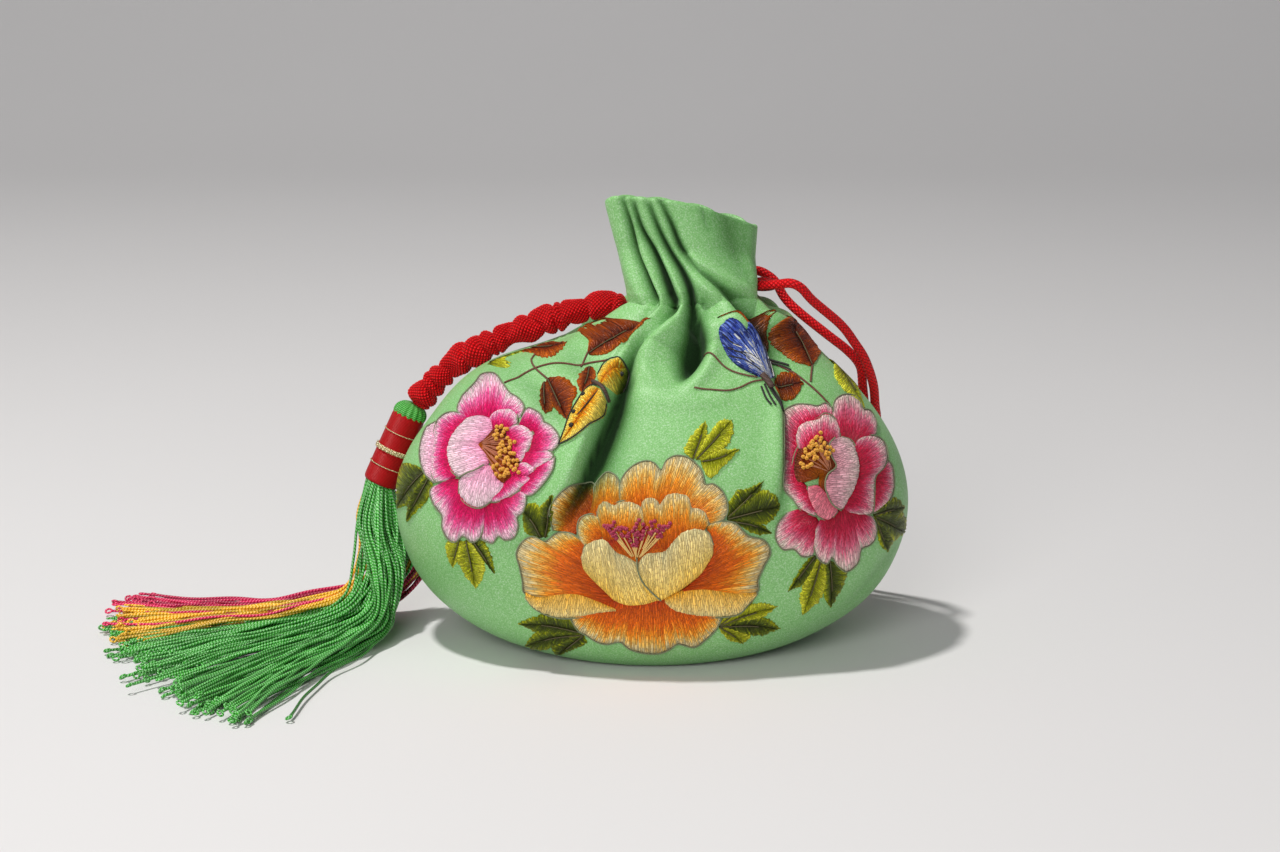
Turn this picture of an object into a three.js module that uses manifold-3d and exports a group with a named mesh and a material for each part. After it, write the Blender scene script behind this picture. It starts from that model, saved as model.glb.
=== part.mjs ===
// Embroidered drawstring pouch with a knotted red cord, a silk tassel and a plain pull cord.
// Millimetres, +Z up. The origin is the middle of the flat base, +X is to the right of the
// embroidered front and +Y is to the back. The front faces -Y.
import * as THREE from 'three';
import { mergeVertices } from 'three/addons/utils/BufferGeometryUtils.js';
import Module from 'manifold-3d';

// Cloth body: a round flat base, a wide belly and a gathered neck set to the right of the middle.
const BASE_RADIUS = 33;
const BASE_SEAM_HALF_LENGTH = 20;
const BELLY_HALF_WIDTH = 81;
const BELLY_HALF_DEPTH = 52;
const BELLY_HEIGHT = 44;
const NECK_HALF_WIDTH = 17.5;
const NECK_HALF_DEPTH = 11.5;
const NECK_CENTRE_X = 12.5;
const NECK_HEIGHT = 105.8;
const NECK_RISE_PER_MM = 0.08;
const LEFT_SHOULDER_FULLNESS = 0.5;
const LEFT_SHOULDER_FALL = 0.32;
const RIGHT_SHOULDER_FULLNESS = 0.8;
const SHOULDER_DEPTH_FULLNESS = 0.8;

// Layers of the cloth wall, from outside to inside, and the side seam between front and back.
const SATIN_THICKNESS = 0.8;
const WADDING_THICKNESS = 1.6;
const LINING_THICKNESS = 0.5;
const PIECE_GAP = 0.3;
const SEAM_HALF_GAP = 0.2;

// Gathered channel that the two drawcords run through.
const CHANNEL_HEIGHT = 8.4;
const CHANNEL_WALL = 6;
const CORD_DIAMETER = 3;
const CORD_CLEARANCE = 0.3;

// Frill of free cloth above the channel.
const FRILL_THICKNESS = 1.6;
const FRILL_FOOT_HALF_WIDTH = 19.2;
const FRILL_FOOT_HALF_DEPTH = 11;
const FRILL_RIM_HALF_WIDTH = 23.6;
const FRILL_RIM_HALF_DEPTH = 10;
const FRILL_RIM_CENTRE_X = 9.1;
const RIM_LEFT_HEIGHT = 141;
const RIM_RIGHT_HEIGHT = 131.5;
const RIM_DROP_POWER = 2.2;
const RIM_BACKWARD_FALL = 0.14;

// Knotted red cord along the left shoulder, and the ball at its end.
const KNOT_COUNT = 12;
const KNOT_RADIUS = 4.7;
const KNOT_END_RADIUS = 3.7;
const KNOT_WAIST_DEPTH = 0.55;
const WAIST_SHARPNESS = 8;

// Tassel head.
const WRAP_TOP = new THREE.Vector3(-77.8, 17.5, 68);
const WRAP_BOTTOM = new THREE.Vector3(-87.3, 16, 46);
const WRAP_RADIUS = 5.4;
const WRAP_THICKNESS = 0.9;
const CAP_HEIGHT = 2.7;
const GOLD_THREAD_THICKNESS = 0.5;
const GOLD_BRAID_THICKNESS = 0.9;
const GOLD_BRAID_WIDTH = 1.6;
const UPPER_THREAD_SHARE = 0.27;
const BRAID_SHARE = 0.52;
const LOWER_THREAD_SHARE = 0.75;

// Tassel strands: how far they reach over the floor and how thick they lie there.
const STRAND_REACH = 97;
const STRAND_LIE = 0.8;
const STRAND_PILE = 3.2;
const BACK_STRAND_HEADING = 160;
const FRONT_STRAND_HEADING = 247;

// Main folds of the front, as lines down the cloth seen straight from the front. Each place is
// [x, z, height, width to the left, width to the right]; a valley's height is below zero.
const FRONT_FOLDS = [
  // Valley beside the full left part.
  [[0, 102, -3.6, 3.4, 3.4], [-5, 98, -4, 3.4, 3.6], [-9, 91, -5.4, 3.4, 4], [-12, 84, -6.8, 3.6, 4.8],
    [-15, 78, -7.4, 3.8, 5.4], [-19, 69, -6.8, 4, 5.4], [-22, 62, -5, 4, 5.4], [-25, 55, -3, 4, 5],
    [-31, 44, 0, 4, 5]],
  // Pocket under the neck.
  [[11, 104, -6, 3.6, 2.6], [14, 103, -8, 5, 2.6], [15, 99, -9, 6.4, 2.6], [13, 95, -7.6, 6.4, 2.8],
    [10, 91, -3.4, 4.5, 3], [8, 89, -0.6, 3, 3]],
  // Valley beside the right part.
  [[28, 104, -3.6, 3, 3.8], [33, 99, -4, 3, 4.8], [36, 94, -3.2, 3, 5], [38, 89, -2.4, 3, 5],
    [40, 81, -2.6, 3, 5], [40, 71, -3.2, 3, 5], [40, 62, -2.8, 3, 5], [39, 52, -1.4, 3, 5],
    [38, 45, 0, 3, 5]],
  // Ridges and shallow dips, from the left to the right.
  [[-38, 87, -1.6, 4, 4], [-32, 83, -2, 4, 4], [-28, 78, -1.4, 4, 4]],
  [[-12, 92, 2, 5, 3], [-15, 85, 2.4, 7, 3], [-19, 78, 2.8, 8, 3], [-23, 71, 2.6, 8, 3],
    [-26, 64, 1.8, 8, 3], [-31, 56, 0.8, 8, 3]],
  [[2, 102, 2.6, 3.2, 4], [-2, 97, 2.2, 3.2, 6], [-4, 93, 1.6, 3.2, 6]],
  [[2, 89, 0.8, 3, 3], [8, 87, 1, 3, 3], [14, 89, 1.4, 3, 3], [18, 94, 1.4, 3, 3], [19, 98, 1, 3, 3]],
  [[26, 104, 2.6, 5, 3], [28, 100, 2.6, 5, 3], [31, 95, 2.2, 5, 3], [34, 88, 1.2, 5, 3]],
  [[44, 82, 0.8, 6, 10], [46, 71, 1.8, 6, 10], [46, 60, 1.8, 6, 10], [45, 48, 0.8, 6, 10]],
];
const VALLEY_SHARPNESS = 1.4;
const RIDGE_SHARPNESS = 2;
const FOLD_SHARE_AT_NECK = 0.45;
const FOLD_START_LEVELS = [0.35, 0.8];
const BACK_GATHER_DEPTH = 1.5;
const BACK_GATHERS = 5.5;
const BACK_GATHER_REACH = 0.42;
const RIGHT_PUFF = 2.6;
const PUFF_LEVEL = 1.9;
const PUFF_REACH = 0.11;
const PUFF_WIDTH = 0.35;
const SEAM_FADE = 0.3;

// Shallow bed in the left shoulder that the knotted cord lies in.
const CORD_BED_DEPTH = 0.9;
const CORD_BED_WIDTH = 0.5;
const CORD_BED_LEVELS = [1.15, 1.5];

// Mesh fineness. Turns run from the left seam to the right one, closest together over the folds.
const FRONT_TURNS = [
  -90, -78, -67, -57, -49, -42, -36, -31, -27.5, -24.5, -22, -19.5, -17, -14.5, -12, -9, -5.5, -2, 1.5,
  5, 8, 11, 14, 18, 23, 28, 32, 35.5, 39, 43, 48, 55, 65, 77, 90,
];
const BACK_TURN_STEPS = 20;
const HALF_TURN_STEPS = 14;
const LOWER_ROWS = 6;
const UPPER_SHARES = [0.1, 0.19, 0.28, 0.37, 0.46, 0.54, 0.61, 0.68, 0.74, 0.8, 0.86, 0.91, 0.96, 1];
const FRILL_ROWS = 3;
const CORD_SIDES = 8;
const STRAND_STEPS = 16;
const STEPS_PER_KNOT = 4;

const wasm = await Module();
wasm.setup();

const vec = (x, y, z) => new THREE.Vector3(x, y, z);
const mix = (a, b, share) => a + (b - a) * share;
const { clamp, degToRad, smoothstep } = THREE.MathUtils;
const neckPlane = (x) => NECK_HEIGHT + NECK_RISE_PER_MM * (x - NECK_CENTRE_X);

function orientedGeometry(positions, index) {
  let volume = 0;
  for (let k = 0; k < index.length; k += 3) {
    const [a, b, c] = [positions[index[k]], positions[index[k + 1]], positions[index[k + 2]]];
    volume += a.dot(vec(0, 0, 0).crossVectors(b, c));
  }
  if (volume < 0) {
    for (let k = 0; k < index.length; k += 3) {
      [index[k], index[k + 1]] = [index[k + 1], index[k]];
    }
  }
  const geometry = new THREE.BufferGeometry();
  const numbers = positions.flatMap((p) => [p.x, p.y, p.z]);
  geometry.setAttribute('position', new THREE.Float32BufferAttribute(numbers, 3));
  geometry.setIndex(index);
  geometry.computeVertexNormals();
  return geometry;
}

// A thin closed wall between two grids of points with the same rows and columns.
function wallGeometry(outer, inner) {
  const columns = outer.length;
  const rows = outer[0].length;
  const positions = [...outer.flat(), ...inner.flat()];
  const outerAt = (j, i) => j * rows + i;
  const innerAt = (j, i) => columns * rows + j * rows + i;
  const index = [];
  const quad = (a, b, c, d) => index.push(a, b, c, a, c, d);
  for (let j = 0; j < columns - 1; j++) {
    for (let i = 0; i < rows - 1; i++) {
      quad(outerAt(j, i), outerAt(j + 1, i), outerAt(j + 1, i + 1), outerAt(j, i + 1));
      quad(innerAt(j, i), innerAt(j, i + 1), innerAt(j + 1, i + 1), innerAt(j + 1, i));
    }
  }
  for (let j = 0; j < columns - 1; j++) {
    quad(innerAt(j, 0), innerAt(j + 1, 0), outerAt(j + 1, 0), outerAt(j, 0));
    quad(outerAt(j, rows - 1), outerAt(j + 1, rows - 1), innerAt(j + 1, rows - 1), innerAt(j, rows - 1));
  }
  for (let i = 0; i < rows - 1; i++) {
    const last = columns - 1;
    quad(outerAt(0, i), outerAt(0, i + 1), innerAt(0, i + 1), innerAt(0, i));
    quad(innerAt(last, i), innerAt(last, i + 1), outerAt(last, i + 1), outerAt(last, i));
  }
  return orientedGeometry(positions, index);
}

// A closed body through rings of points, with a fan over each end.
function loftGeometry(rings) {
  const count = rings[0].length;
  const positions = rings.flat();
  const index = [];
  for (let i = 0; i < rings.length - 1; i++) {
    for (let j = 0; j < count; j++) {
      const next = (j + 1) % count;
      const [a, b] = [i * count + j, i * count + next];
      index.push(a, b, b + count, a, b + count, a + count);
    }
  }
  const lastStart = (rings.length - 1) * count;
  for (const [start, ring, reversed] of [[0, rings[0], true], [lastStart, rings.at(-1), false]]) {
    const middle = positions.length;
    positions.push(ring.reduce((sum, p) => sum.add(p), vec(0, 0, 0)).divideScalar(count));
    for (let j = 0; j < count; j++) {
      const [a, b] = [start + j, start + ((j + 1) % count)];
      index.push(...(reversed ? [b, a, middle] : [a, b, middle]));
    }
  }
  return orientedGeometry(positions, index);
}

// Body section at a level: level 0 to 1 is the base to the belly, 1 to 2 the belly to the neck.
function bodySection(level) {
  if (level <= 1) {
    const turn = (level * Math.PI) / 2;
    const height = BELLY_HEIGHT * (1 - Math.cos(turn));
    const halfWidth = mix(BASE_RADIUS, BELLY_HALF_WIDTH, Math.sin(turn));
    const halfDepth = mix(BASE_RADIUS, BELLY_HALF_DEPTH, Math.sin(turn));
    return { left: [-halfWidth, height], right: [halfWidth, height], halfDepth };
  }
  const share = level - 1;
  const fall = Math.max(0, Math.cos((share * Math.PI) / 2));
  const neckLeft = NECK_CENTRE_X - NECK_HALF_WIDTH;
  const neckRight = NECK_CENTRE_X + NECK_HALF_WIDTH;
  const leftPower = LEFT_SHOULDER_FULLNESS + LEFT_SHOULDER_FALL * share * share;
  const leftX = mix(neckLeft, -BELLY_HALF_WIDTH, fall ** leftPower);
  const rightX = mix(neckRight, BELLY_HALF_WIDTH, fall ** RIGHT_SHOULDER_FULLNESS);
  return {
    left: [leftX, mix(BELLY_HEIGHT, neckPlane(neckLeft), share)],
    right: [rightX, mix(BELLY_HEIGHT, neckPlane(neckRight), share)],
    halfDepth: mix(NECK_HALF_DEPTH, BELLY_HALF_DEPTH, fall ** SHOULDER_DEPTH_FULLNESS),
  };
}

// A point of a half ring at a section. side is -1 for the front and 1 for the back.
function ringPoint(section, side, turn) {
  const share = (1 + Math.sin(turn)) / 2;
  const inward = Math.max(0, Math.cos(turn));
  const depth = SEAM_HALF_GAP + (section.halfDepth - SEAM_HALF_GAP) * inward;
  const x = mix(section.left[0], section.right[0], share);
  return vec(x, side * depth, mix(section.left[1], section.right[1], share));
}

const evenTurns = (steps) => Array.from({ length: steps + 1 }, (_, k) => mix(-90, 90, k / steps));
const bodyDegrees = (side) => (side < 0 ? FRONT_TURNS : evenTurns(BACK_TURN_STEPS));
const bodyTurns = (side) => bodyDegrees(side).map((turn) => degToRad(turn));
const lowerLevels = Array.from({ length: LOWER_ROWS + 1 }, (_, k) => k / LOWER_ROWS);
const bodyLevels = [...lowerLevels, ...UPPER_SHARES.map((share) => 1 + share)];

// Plain cloth of one side: a column for each turn, from the base's seam up to the neck.
function bodyGrid(side) {
  const [left, right] = [[-BASE_SEAM_HALF_LENGTH, 0], [BASE_SEAM_HALF_LENGTH, 0]];
  const seam = { left, right, halfDepth: SEAM_HALF_GAP };
  const sections = [seam, ...bodyLevels.map(bodySection)];
  return bodyTurns(side).map((turn) => sections.map((section) => ringPoint(section, side, turn)));
}

// Height of the front's folds at a place seen from the front.
function foldHeight(x, z) {
  let total = 0;
  for (const places of FRONT_FOLDS) {
    let nearest = Infinity;
    let height = 0;
    let width = 1;
    for (let k = 0; k < places.length - 1; k++) {
      const [start, end] = [places[k], places[k + 1]];
      const [dx, dz] = [end[0] - start[0], end[1] - start[1]];
      const along = ((x - start[0]) * dx + (z - start[1]) * dz) / (dx * dx + dz * dz);
      const share = clamp(along, 0, 1);
      const [gapX, gapZ] = [x - start[0] - dx * share, z - start[1] - dz * share];
      const distance = Math.hypot(gapX, gapZ);
      if (distance < nearest) {
        nearest = distance;
        height = mix(start[2], end[2], share);
        const column = dx * gapZ - dz * gapX > 0 ? 4 : 3;
        width = mix(start[column], end[column], share);
      }
    }
    const sharpness = height < 0 ? VALLEY_SHARPNESS : RIDGE_SHARPNESS;
    total += height * Math.exp(-((nearest / width) ** sharpness));
  }
  return total;
}

// How far the cloth stands off the plain surface: folds in front, gathers behind, and a puff
// beside the neck's right, and the knotted cord's bed at the left.
function clothLift(side, turn, level, point) {
  const seamFade = smoothstep(Math.cos(turn), 0, SEAM_FADE);
  const fromRight = (Math.sin(turn) - 1) / PUFF_WIDTH;
  const fromPuff = (level - PUFF_LEVEL) / PUFF_REACH;
  const puff = RIGHT_PUFF * Math.exp(-(fromRight ** 2) - fromPuff ** 2);
  const fromLeft = (Math.sin(turn) + 1) / CORD_BED_WIDTH;
  const bed = CORD_BED_DEPTH * Math.exp(-(fromLeft ** 2)) * smoothstep(level, ...CORD_BED_LEVELS);
  if (side < 0) {
    const neckShare = mix(1, FOLD_SHARE_AT_NECK, smoothstep(level, PUFF_LEVEL, 2));
    const foldShare = seamFade * neckShare * smoothstep(level, ...FOLD_START_LEVELS);
    return puff - bed + foldShare * foldHeight(point.x, point.z);
  }
  const wave = Math.abs(Math.sin(BACK_GATHERS * turn));
  const fromNeck = (level - 2) / BACK_GATHER_REACH;
  return puff - bed - seamFade * BACK_GATHER_DEPTH * Math.exp(-(fromNeck ** 2)) * (1 - wave);
}

// Outward direction at each point of a grid, kept in the seam's plane along the side seams
// and level along the neck.
function gridNormals(grid, side) {
  const columns = grid.length;
  const rows = grid[0].length;
  return grid.map((column, j) => column.map((point, i) => {
    const along = grid[Math.min(j + 1, columns - 1)][i].clone().sub(grid[Math.max(j - 1, 0)][i]);
    const up = column[Math.min(i + 1, rows - 1)].clone().sub(column[Math.max(i - 1, 0)]);
    const normal = vec(0, 0, 0).crossVectors(along, up).multiplyScalar(-side);
    if (i === 0) {
      normal.set(0, 0, -1);
    }
    if (j === 0 || j === columns - 1) {
      normal.crossVectors(vec(0, j === 0 ? -1 : 1, 0), up);
      if (i === 0) {
        normal.set(0, 0, -1);
      }
    }
    if (i === rows - 1) {
      normal.z = 0;
    }
    return normal.normalize();
  }));
}

function bodyLayer(side, outerDepth, thickness) {
  const grid = bodyGrid(side);
  const normals = gridNormals(grid, side);
  const turns = bodyTurns(side);
  const lifts = grid.map((column, j) => column.map((point, i) => (
    i === 0 ? 0 : clothLift(side, turns[j], bodyLevels[i - 1], point)
  )));
  const sunk = (depth) => grid.map((column, j) => column.map((point, i) => (
    point.clone().addScaledVector(normals[j][i], lifts[j][i] - depth)
  )));
  return wallGeometry(sunk(outerDepth), sunk(outerDepth + thickness));
}

const WADDING_DEPTH = SATIN_THICKNESS + PIECE_GAP;
const LINING_DEPTH = WADDING_DEPTH + WADDING_THICKNESS + PIECE_GAP;

// Ring wall between a foot plane and a top line, for the channel and the frill.
function collarGrid(side, rows, halfWidths, halfDepths, centres, heights) {
  const columns = [];
  for (let step = 0; step <= HALF_TURN_STEPS; step++) {
    const angle = mix(-Math.PI / 2, Math.PI / 2, step / HALF_TURN_STEPS);
    const column = [];
    for (let row = 0; row <= rows; row++) {
      const share = row / rows;
      const x = mix(...centres, share) + mix(...halfWidths, share) * Math.sin(angle);
      const inward = Math.max(0, Math.cos(angle));
      const depth = SEAM_HALF_GAP + (mix(...halfDepths, share) - SEAM_HALF_GAP) * inward;
      column.push(vec(x, side * depth, heights(x, side * depth, share)));
    }
    columns.push(column);
  }
  return columns;
}

const channelFoot = (x) => neckPlane(x) + PIECE_GAP;
const channelTop = (x) => channelFoot(x) + CHANNEL_HEIGHT;
const channelMiddle = (x) => channelFoot(x) + CHANNEL_HEIGHT / 2;

function channelBlank(side) {
  const heights = (x, y, share) => mix(channelFoot(x), channelTop(x), share);
  const centres = [NECK_CENTRE_X, NECK_CENTRE_X];
  const ring = (inset) => collarGrid(
    side,
    1,
    [NECK_HALF_WIDTH - inset, FRILL_FOOT_HALF_WIDTH - inset],
    [NECK_HALF_DEPTH - inset, FRILL_FOOT_HALF_DEPTH - inset],
    centres,
    heights,
  );
  return wallGeometry(ring(0), ring(CHANNEL_WALL));
}

function frill(side) {
  const foot = (x) => channelTop(x) + PIECE_GAP;
  const rimLeft = FRILL_RIM_CENTRE_X - FRILL_RIM_HALF_WIDTH;
  const rim = (x, y) => {
    const across = Math.min(1, Math.max(0, (x - rimLeft) / (2 * FRILL_RIM_HALF_WIDTH)));
    return mix(RIM_LEFT_HEIGHT, RIM_RIGHT_HEIGHT, across ** RIM_DROP_POWER) - RIM_BACKWARD_FALL * y;
  };
  const heights = (x, y, share) => mix(foot(x), rim(x, y), share);
  const ring = (inset) => collarGrid(
    side,
    FRILL_ROWS,
    [FRILL_FOOT_HALF_WIDTH - inset, FRILL_RIM_HALF_WIDTH - inset],
    [FRILL_FOOT_HALF_DEPTH - inset, FRILL_RIM_HALF_DEPTH - inset],
    [NECK_CENTRE_X, FRILL_RIM_CENTRE_X],
    heights,
  );
  return wallGeometry(ring(0), ring(FRILL_THICKNESS));
}

// Drawcords: the left cord runs low in the channel and the right cord above it.
const cordPlane = (x, level) => channelMiddle(x) + level * (CORD_DIAMETER + CORD_CLEARANCE) / 2;
const CORD_HALF_WIDTH = NECK_HALF_WIDTH - CHANNEL_WALL / 2;
const CORD_HALF_DEPTH = NECK_HALF_DEPTH - CHANNEL_WALL / 2;
const LEG_HALF_SPACING = 2.6;
const LEFT_EXIT_X = NECK_CENTRE_X - NECK_HALF_WIDTH - 2.4;
const RIGHT_EXIT_X = NECK_CENTRE_X + NECK_HALF_WIDTH + 2.4;
const BEND_ANGLE = 52;

// Points of a drawcord in the channel. exitSide is -1 where both ends leave on the left.
function channelRoute(exitSide, level) {
  const exitX = exitSide < 0 ? LEFT_EXIT_X : RIGHT_EXIT_X;
  const points = [];
  const leg = (side) => [
    [exitX, side * LEG_HALF_SPACING],
    [mix(exitX, NECK_CENTRE_X + exitSide * CORD_HALF_WIDTH, 0.45), side * LEG_HALF_SPACING],
  ];
  leg(-1).forEach(([x, y]) => points.push(vec(x, y, cordPlane(x, level))));
  for (let degrees = BEND_ANGLE; degrees <= 360 - BEND_ANGLE; degrees += 16) {
    const angle = (degrees * Math.PI) / 180;
    const x = NECK_CENTRE_X + exitSide * CORD_HALF_WIDTH * Math.cos(angle);
    points.push(vec(x, -CORD_HALF_DEPTH * Math.sin(angle), cordPlane(x, level)));
  }
  leg(1).reverse().forEach(([x, y]) => points.push(vec(x, y, cordPlane(x, level))));
  return points;
}

function polygonShape(diameter, sides) {
  const corners = Array.from({ length: sides }, (_, k) => {
    const angle = ((k + 0.5) * 2 * Math.PI) / sides;
    return new THREE.Vector2(Math.cos(angle), Math.sin(angle)).multiplyScalar(diameter / 2);
  });
  return new THREE.Shape(corners);
}

function tube(points, diameter, steps) {
  const extrudePath = new THREE.CatmullRomCurve3(points, false, 'centripetal');
  const shape = polygonShape(diameter, CORD_SIDES);
  return new THREE.ExtrudeGeometry(shape, { steps, extrudePath, bevelEnabled: false });
}

function toSolid(geometry) {
  const bare = geometry.clone();
  bare.deleteAttribute('normal');
  bare.deleteAttribute('uv');
  const merged = mergeVertices(bare, 1e-4);
  return new wasm.Manifold(new wasm.Mesh({
    numProp: 3,
    vertProperties: new Float32Array(merged.attributes.position.array),
    triVerts: new Uint32Array(merged.index.array),
  }));
}

function fromSolid(solid) {
  const mesh = solid.getMesh();
  const geometry = new THREE.BufferGeometry();
  geometry.setAttribute('position', new THREE.BufferAttribute(new Float32Array(mesh.vertProperties), 3));
  geometry.setIndex(new THREE.BufferAttribute(new Uint32Array(mesh.triVerts), 1));
  geometry.computeVertexNormals();
  return geometry;
}

// The channel halves are bored along each drawcord, with the cord's clearance all round.
const CHANNEL_CORD_STEPS = 26;
const leftChannelRoute = channelRoute(-1, -1);
const rightChannelRoute = channelRoute(1, 1);

function channelHalf(side) {
  let solid = toSolid(channelBlank(side));
  for (const route of [leftChannelRoute, rightChannelRoute]) {
    solid = solid.subtract(toSolid(tube(route, CORD_DIAMETER + 2 * CORD_CLEARANCE, CHANNEL_CORD_STEPS)));
  }
  return fromSolid(solid);
}

// The knotted cord's route over the left shoulder, from the neck to the ball above the tassel.
const KNOT_START = vec(LEFT_EXIT_X - 0.6, 1, cordPlane(LEFT_EXIT_X, -1));
const KNOT_BALL = vec(-73.2, 17.2, 74.2);
const knotRoute = [
  KNOT_START,
  vec(-13.5, 2.4, 106.2),
  vec(-18.5, 3.6, 105.8),
  vec(-24, 4.7, 104.2),
  vec(-31, 5.8, 101.6),
  vec(-39, 7, 98.6),
  vec(-48, 8.5, 94.4),
  vec(-54.5, 10, 91),
  vec(-61.6, 12.6, 86.5),
  vec(-68.4, 15.2, 80.2),
  KNOT_BALL,
  KNOT_BALL.clone().add(vec(-2.1, 0.3, -3.2)),
];

// A round tube whose radius swells at each knot and pulls in between knots.
function knottedCord() {
  const path = new THREE.CatmullRomCurve3(knotRoute, false, 'centripetal');
  const steps = KNOT_COUNT * STEPS_PER_KNOT;
  const rings = [];
  for (let k = 0; k <= steps; k++) {
    const share = k / steps;
    const at = path.getPointAt(share);
    const ahead = path.getTangentAt(share);
    const sideways = vec(0, 1, 0).addScaledVector(ahead, -ahead.y).normalize();
    const upward = vec(0, 0, 0).crossVectors(ahead, sideways);
    const swell = Math.sqrt(Math.sin(Math.PI * share));
    const waist = KNOT_WAIST_DEPTH * Math.cos(Math.PI * share * KNOT_COUNT) ** WAIST_SHARPNESS;
    const atEnd = k === 0 || k === steps;
    const narrowing = atEnd ? 1 - KNOT_WAIST_DEPTH : 1 - waist / 2;
    const radius = mix(KNOT_END_RADIUS, KNOT_RADIUS, swell) * narrowing;
    rings.push(Array.from({ length: CORD_SIDES }, (_, n) => {
      const angle = (n * 2 * Math.PI) / CORD_SIDES;
      const point = at.clone().addScaledVector(sideways, radius * Math.cos(angle));
      return point.addScaledVector(upward, radius * Math.sin(angle));
    }));
  }
  return loftGeometry(rings);
}

// Tassel head: pieces turned round the wrap's own axis, which runs from its bottom up.
const wrapAxis = WRAP_TOP.clone().sub(WRAP_BOTTOM);
const WRAP_LENGTH = wrapAxis.length();
const wrapTurn = new THREE.Quaternion().setFromUnitVectors(vec(0, 0, 1), wrapAxis.clone().normalize());
const CORE_RADIUS = WRAP_RADIUS - WRAP_THICKNESS - PIECE_GAP;

function turned(profile, segments = 16) {
  const points = profile.map(([radius, height]) => new THREE.Vector2(radius, height));
  return new THREE.LatheGeometry(points, segments).rotateX(Math.PI / 2);
}

function ringProfile(innerRadius, thickness, middle, width) {
  const [low, high] = [middle - width / 2, middle + width / 2];
  const outer = innerRadius + thickness;
  const round = width / 4;
  return [[innerRadius, low], [outer, low + round], [outer, high - round], [innerRadius, high], [innerRadius, low]];
}

const goldThread = (share, thickness, width) => (
  turned(ringProfile(WRAP_RADIUS + PIECE_GAP, thickness, WRAP_LENGTH * share, width))
);

function capGeometry() {
  const foot = WRAP_LENGTH + PIECE_GAP;
  const profile = [[0, foot]];
  for (let k = 0; k <= 5; k++) {
    const angle = (k * Math.PI) / 10;
    profile.push([(WRAP_RADIUS - 0.4) * Math.cos(angle), foot + CAP_HEIGHT * Math.sin(angle)]);
  }
  profile[profile.length - 1][0] = 0;
  return turned(profile);
}

// A point of the tassel. across runs from -1, the back strands, to 1, the front ones; lift runs
// from -1, under and to the right, to 1, on top and to the left; share runs from the wrap to the ends.
function strandCurve(across, lift) {
  const round = Math.sqrt(Math.max(0, 1 - 0.92 * across * across));
  const heading = (mix(BACK_STRAND_HEADING, FRONT_STRAND_HEADING, (across + 1) / 2) * Math.PI) / 180;
  const top = WRAP_BOTTOM;
  const knee = vec(-90 - 2 * across * across, 12 - 17 * across, STRAND_LIE + STRAND_PILE);
  const reach = STRAND_REACH * (1 - 0.1 * (1 - across * across)) - 8;
  const spot = (distance, height) => vec(
    knee.x + distance * Math.cos(heading),
    knee.y + distance * Math.sin(heading),
    height,
  );
  const pile = (share) => STRAND_LIE + STRAND_PILE * share * (1 + lift);
  return new THREE.CatmullRomCurve3([
    vec(top.x - 0.15 - 4.4 * lift * round, top.y - 4.6 * across, top.z - 0.5 + 1.9 * lift * round),
    vec(-88.2 - 6.2 * lift * round, 14.6 - 7.5 * across, 33 + 0.6 * lift),
    vec(-87.5 - 8 * lift * round, 12 - 11.5 * across, 17 + 2.4 * lift),
    vec(knee.x - 8 * lift, knee.y, pile(1.6)),
    spot(reach * 0.34, pile(1)),
    spot(reach * 0.68, pile(0.8)),
    spot(reach, pile(0.6)),
  ], false, 'centripetal');
}

// A closed slice of the tassel between two places across it.
function strandBundle(from, to) {
  const middle = (from + to) / 2;
  const corners = [[from, -1], [middle, -1], [to, -1], [to, 0], [to, 1], [middle, 1], [from, 1], [from, 0]];
  const curves = corners.map(([across, lift]) => strandCurve(across, lift));
  const rings = [];
  for (let k = 0; k <= STRAND_STEPS; k++) {
    rings.push(curves.map((curve) => curve.getPoint(k / STRAND_STEPS)));
  }
  return loftGeometry(rings);
}

// The plain pull cord: out of the channel at the right, in a small curl, over the right
// shoulder, down behind the pouch, round on the floor and back up to the channel.
// It starts and ends with a short straight run in line with the drawcord in the channel.
const pullExitX = RIGHT_EXIT_X + PIECE_GAP;
const pullExit = (side) => [pullExitX, pullExitX + CORD_DIAMETER * 0.8].map((x) => (
  vec(x, side * LEG_HALF_SPACING, cordPlane(x, 1))
));
const pullRoute = [
  ...pullExit(1),
  vec(37.9, 4.8, 112.7),
  vec(37.2, 7.6, 111.6),
  vec(33.6, 9.2, 111.2),
  vec(29.6, 9.9, 112),
  vec(29.8, 10.8, 114.8),
  vec(33.4, 11.4, 115.8),
  vec(38.4, 11.8, 112.8),
  vec(41.8, 10.6, 107.4),
  vec(46.2, 8.6, 103.2),
  vec(55, 9.5, 96),
  vec(62.2, 13, 89.8),
  vec(66.4, 17, 84.2),
  vec(67.6, 20, 77.2),
  vec(68.5, 25, 66),
  vec(66, 33, 52),
  vec(60, 42, 36),
  vec(54, 50, 20),
  vec(50, 56, 8),
  vec(46, 61.5, 2.4),
  vec(41, 67, 1.8),
  vec(39, 74, 1.8),
  vec(44, 80, 1.8),
  vec(52, 79, 1.8),
  vec(57.5, 72, 1.8),
  vec(60, 64, 2.2),
  vec(63.5, 57, 8),
  vec(68, 48, 20),
  vec(71, 40, 36),
  vec(73, 32, 52),
  vec(72.8, 26, 64),
  vec(71.9, 22, 70),
  vec(70.8, 17.5, 78),
  vec(67.8, 13, 86.7),
  vec(64.2, 10, 92.8),
  vec(59.3, 6, 99.6),
  vec(50.2, 0, 108.2),
  vec(46.4, -3.2, 112.7),
  vec(43, -4.2, 114.5),
  vec(39, -3.2, 114),
  ...pullExit(-1).reverse(),
];
const PULL_CORD_STEPS = 80;

const part = new THREE.Group();

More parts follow.
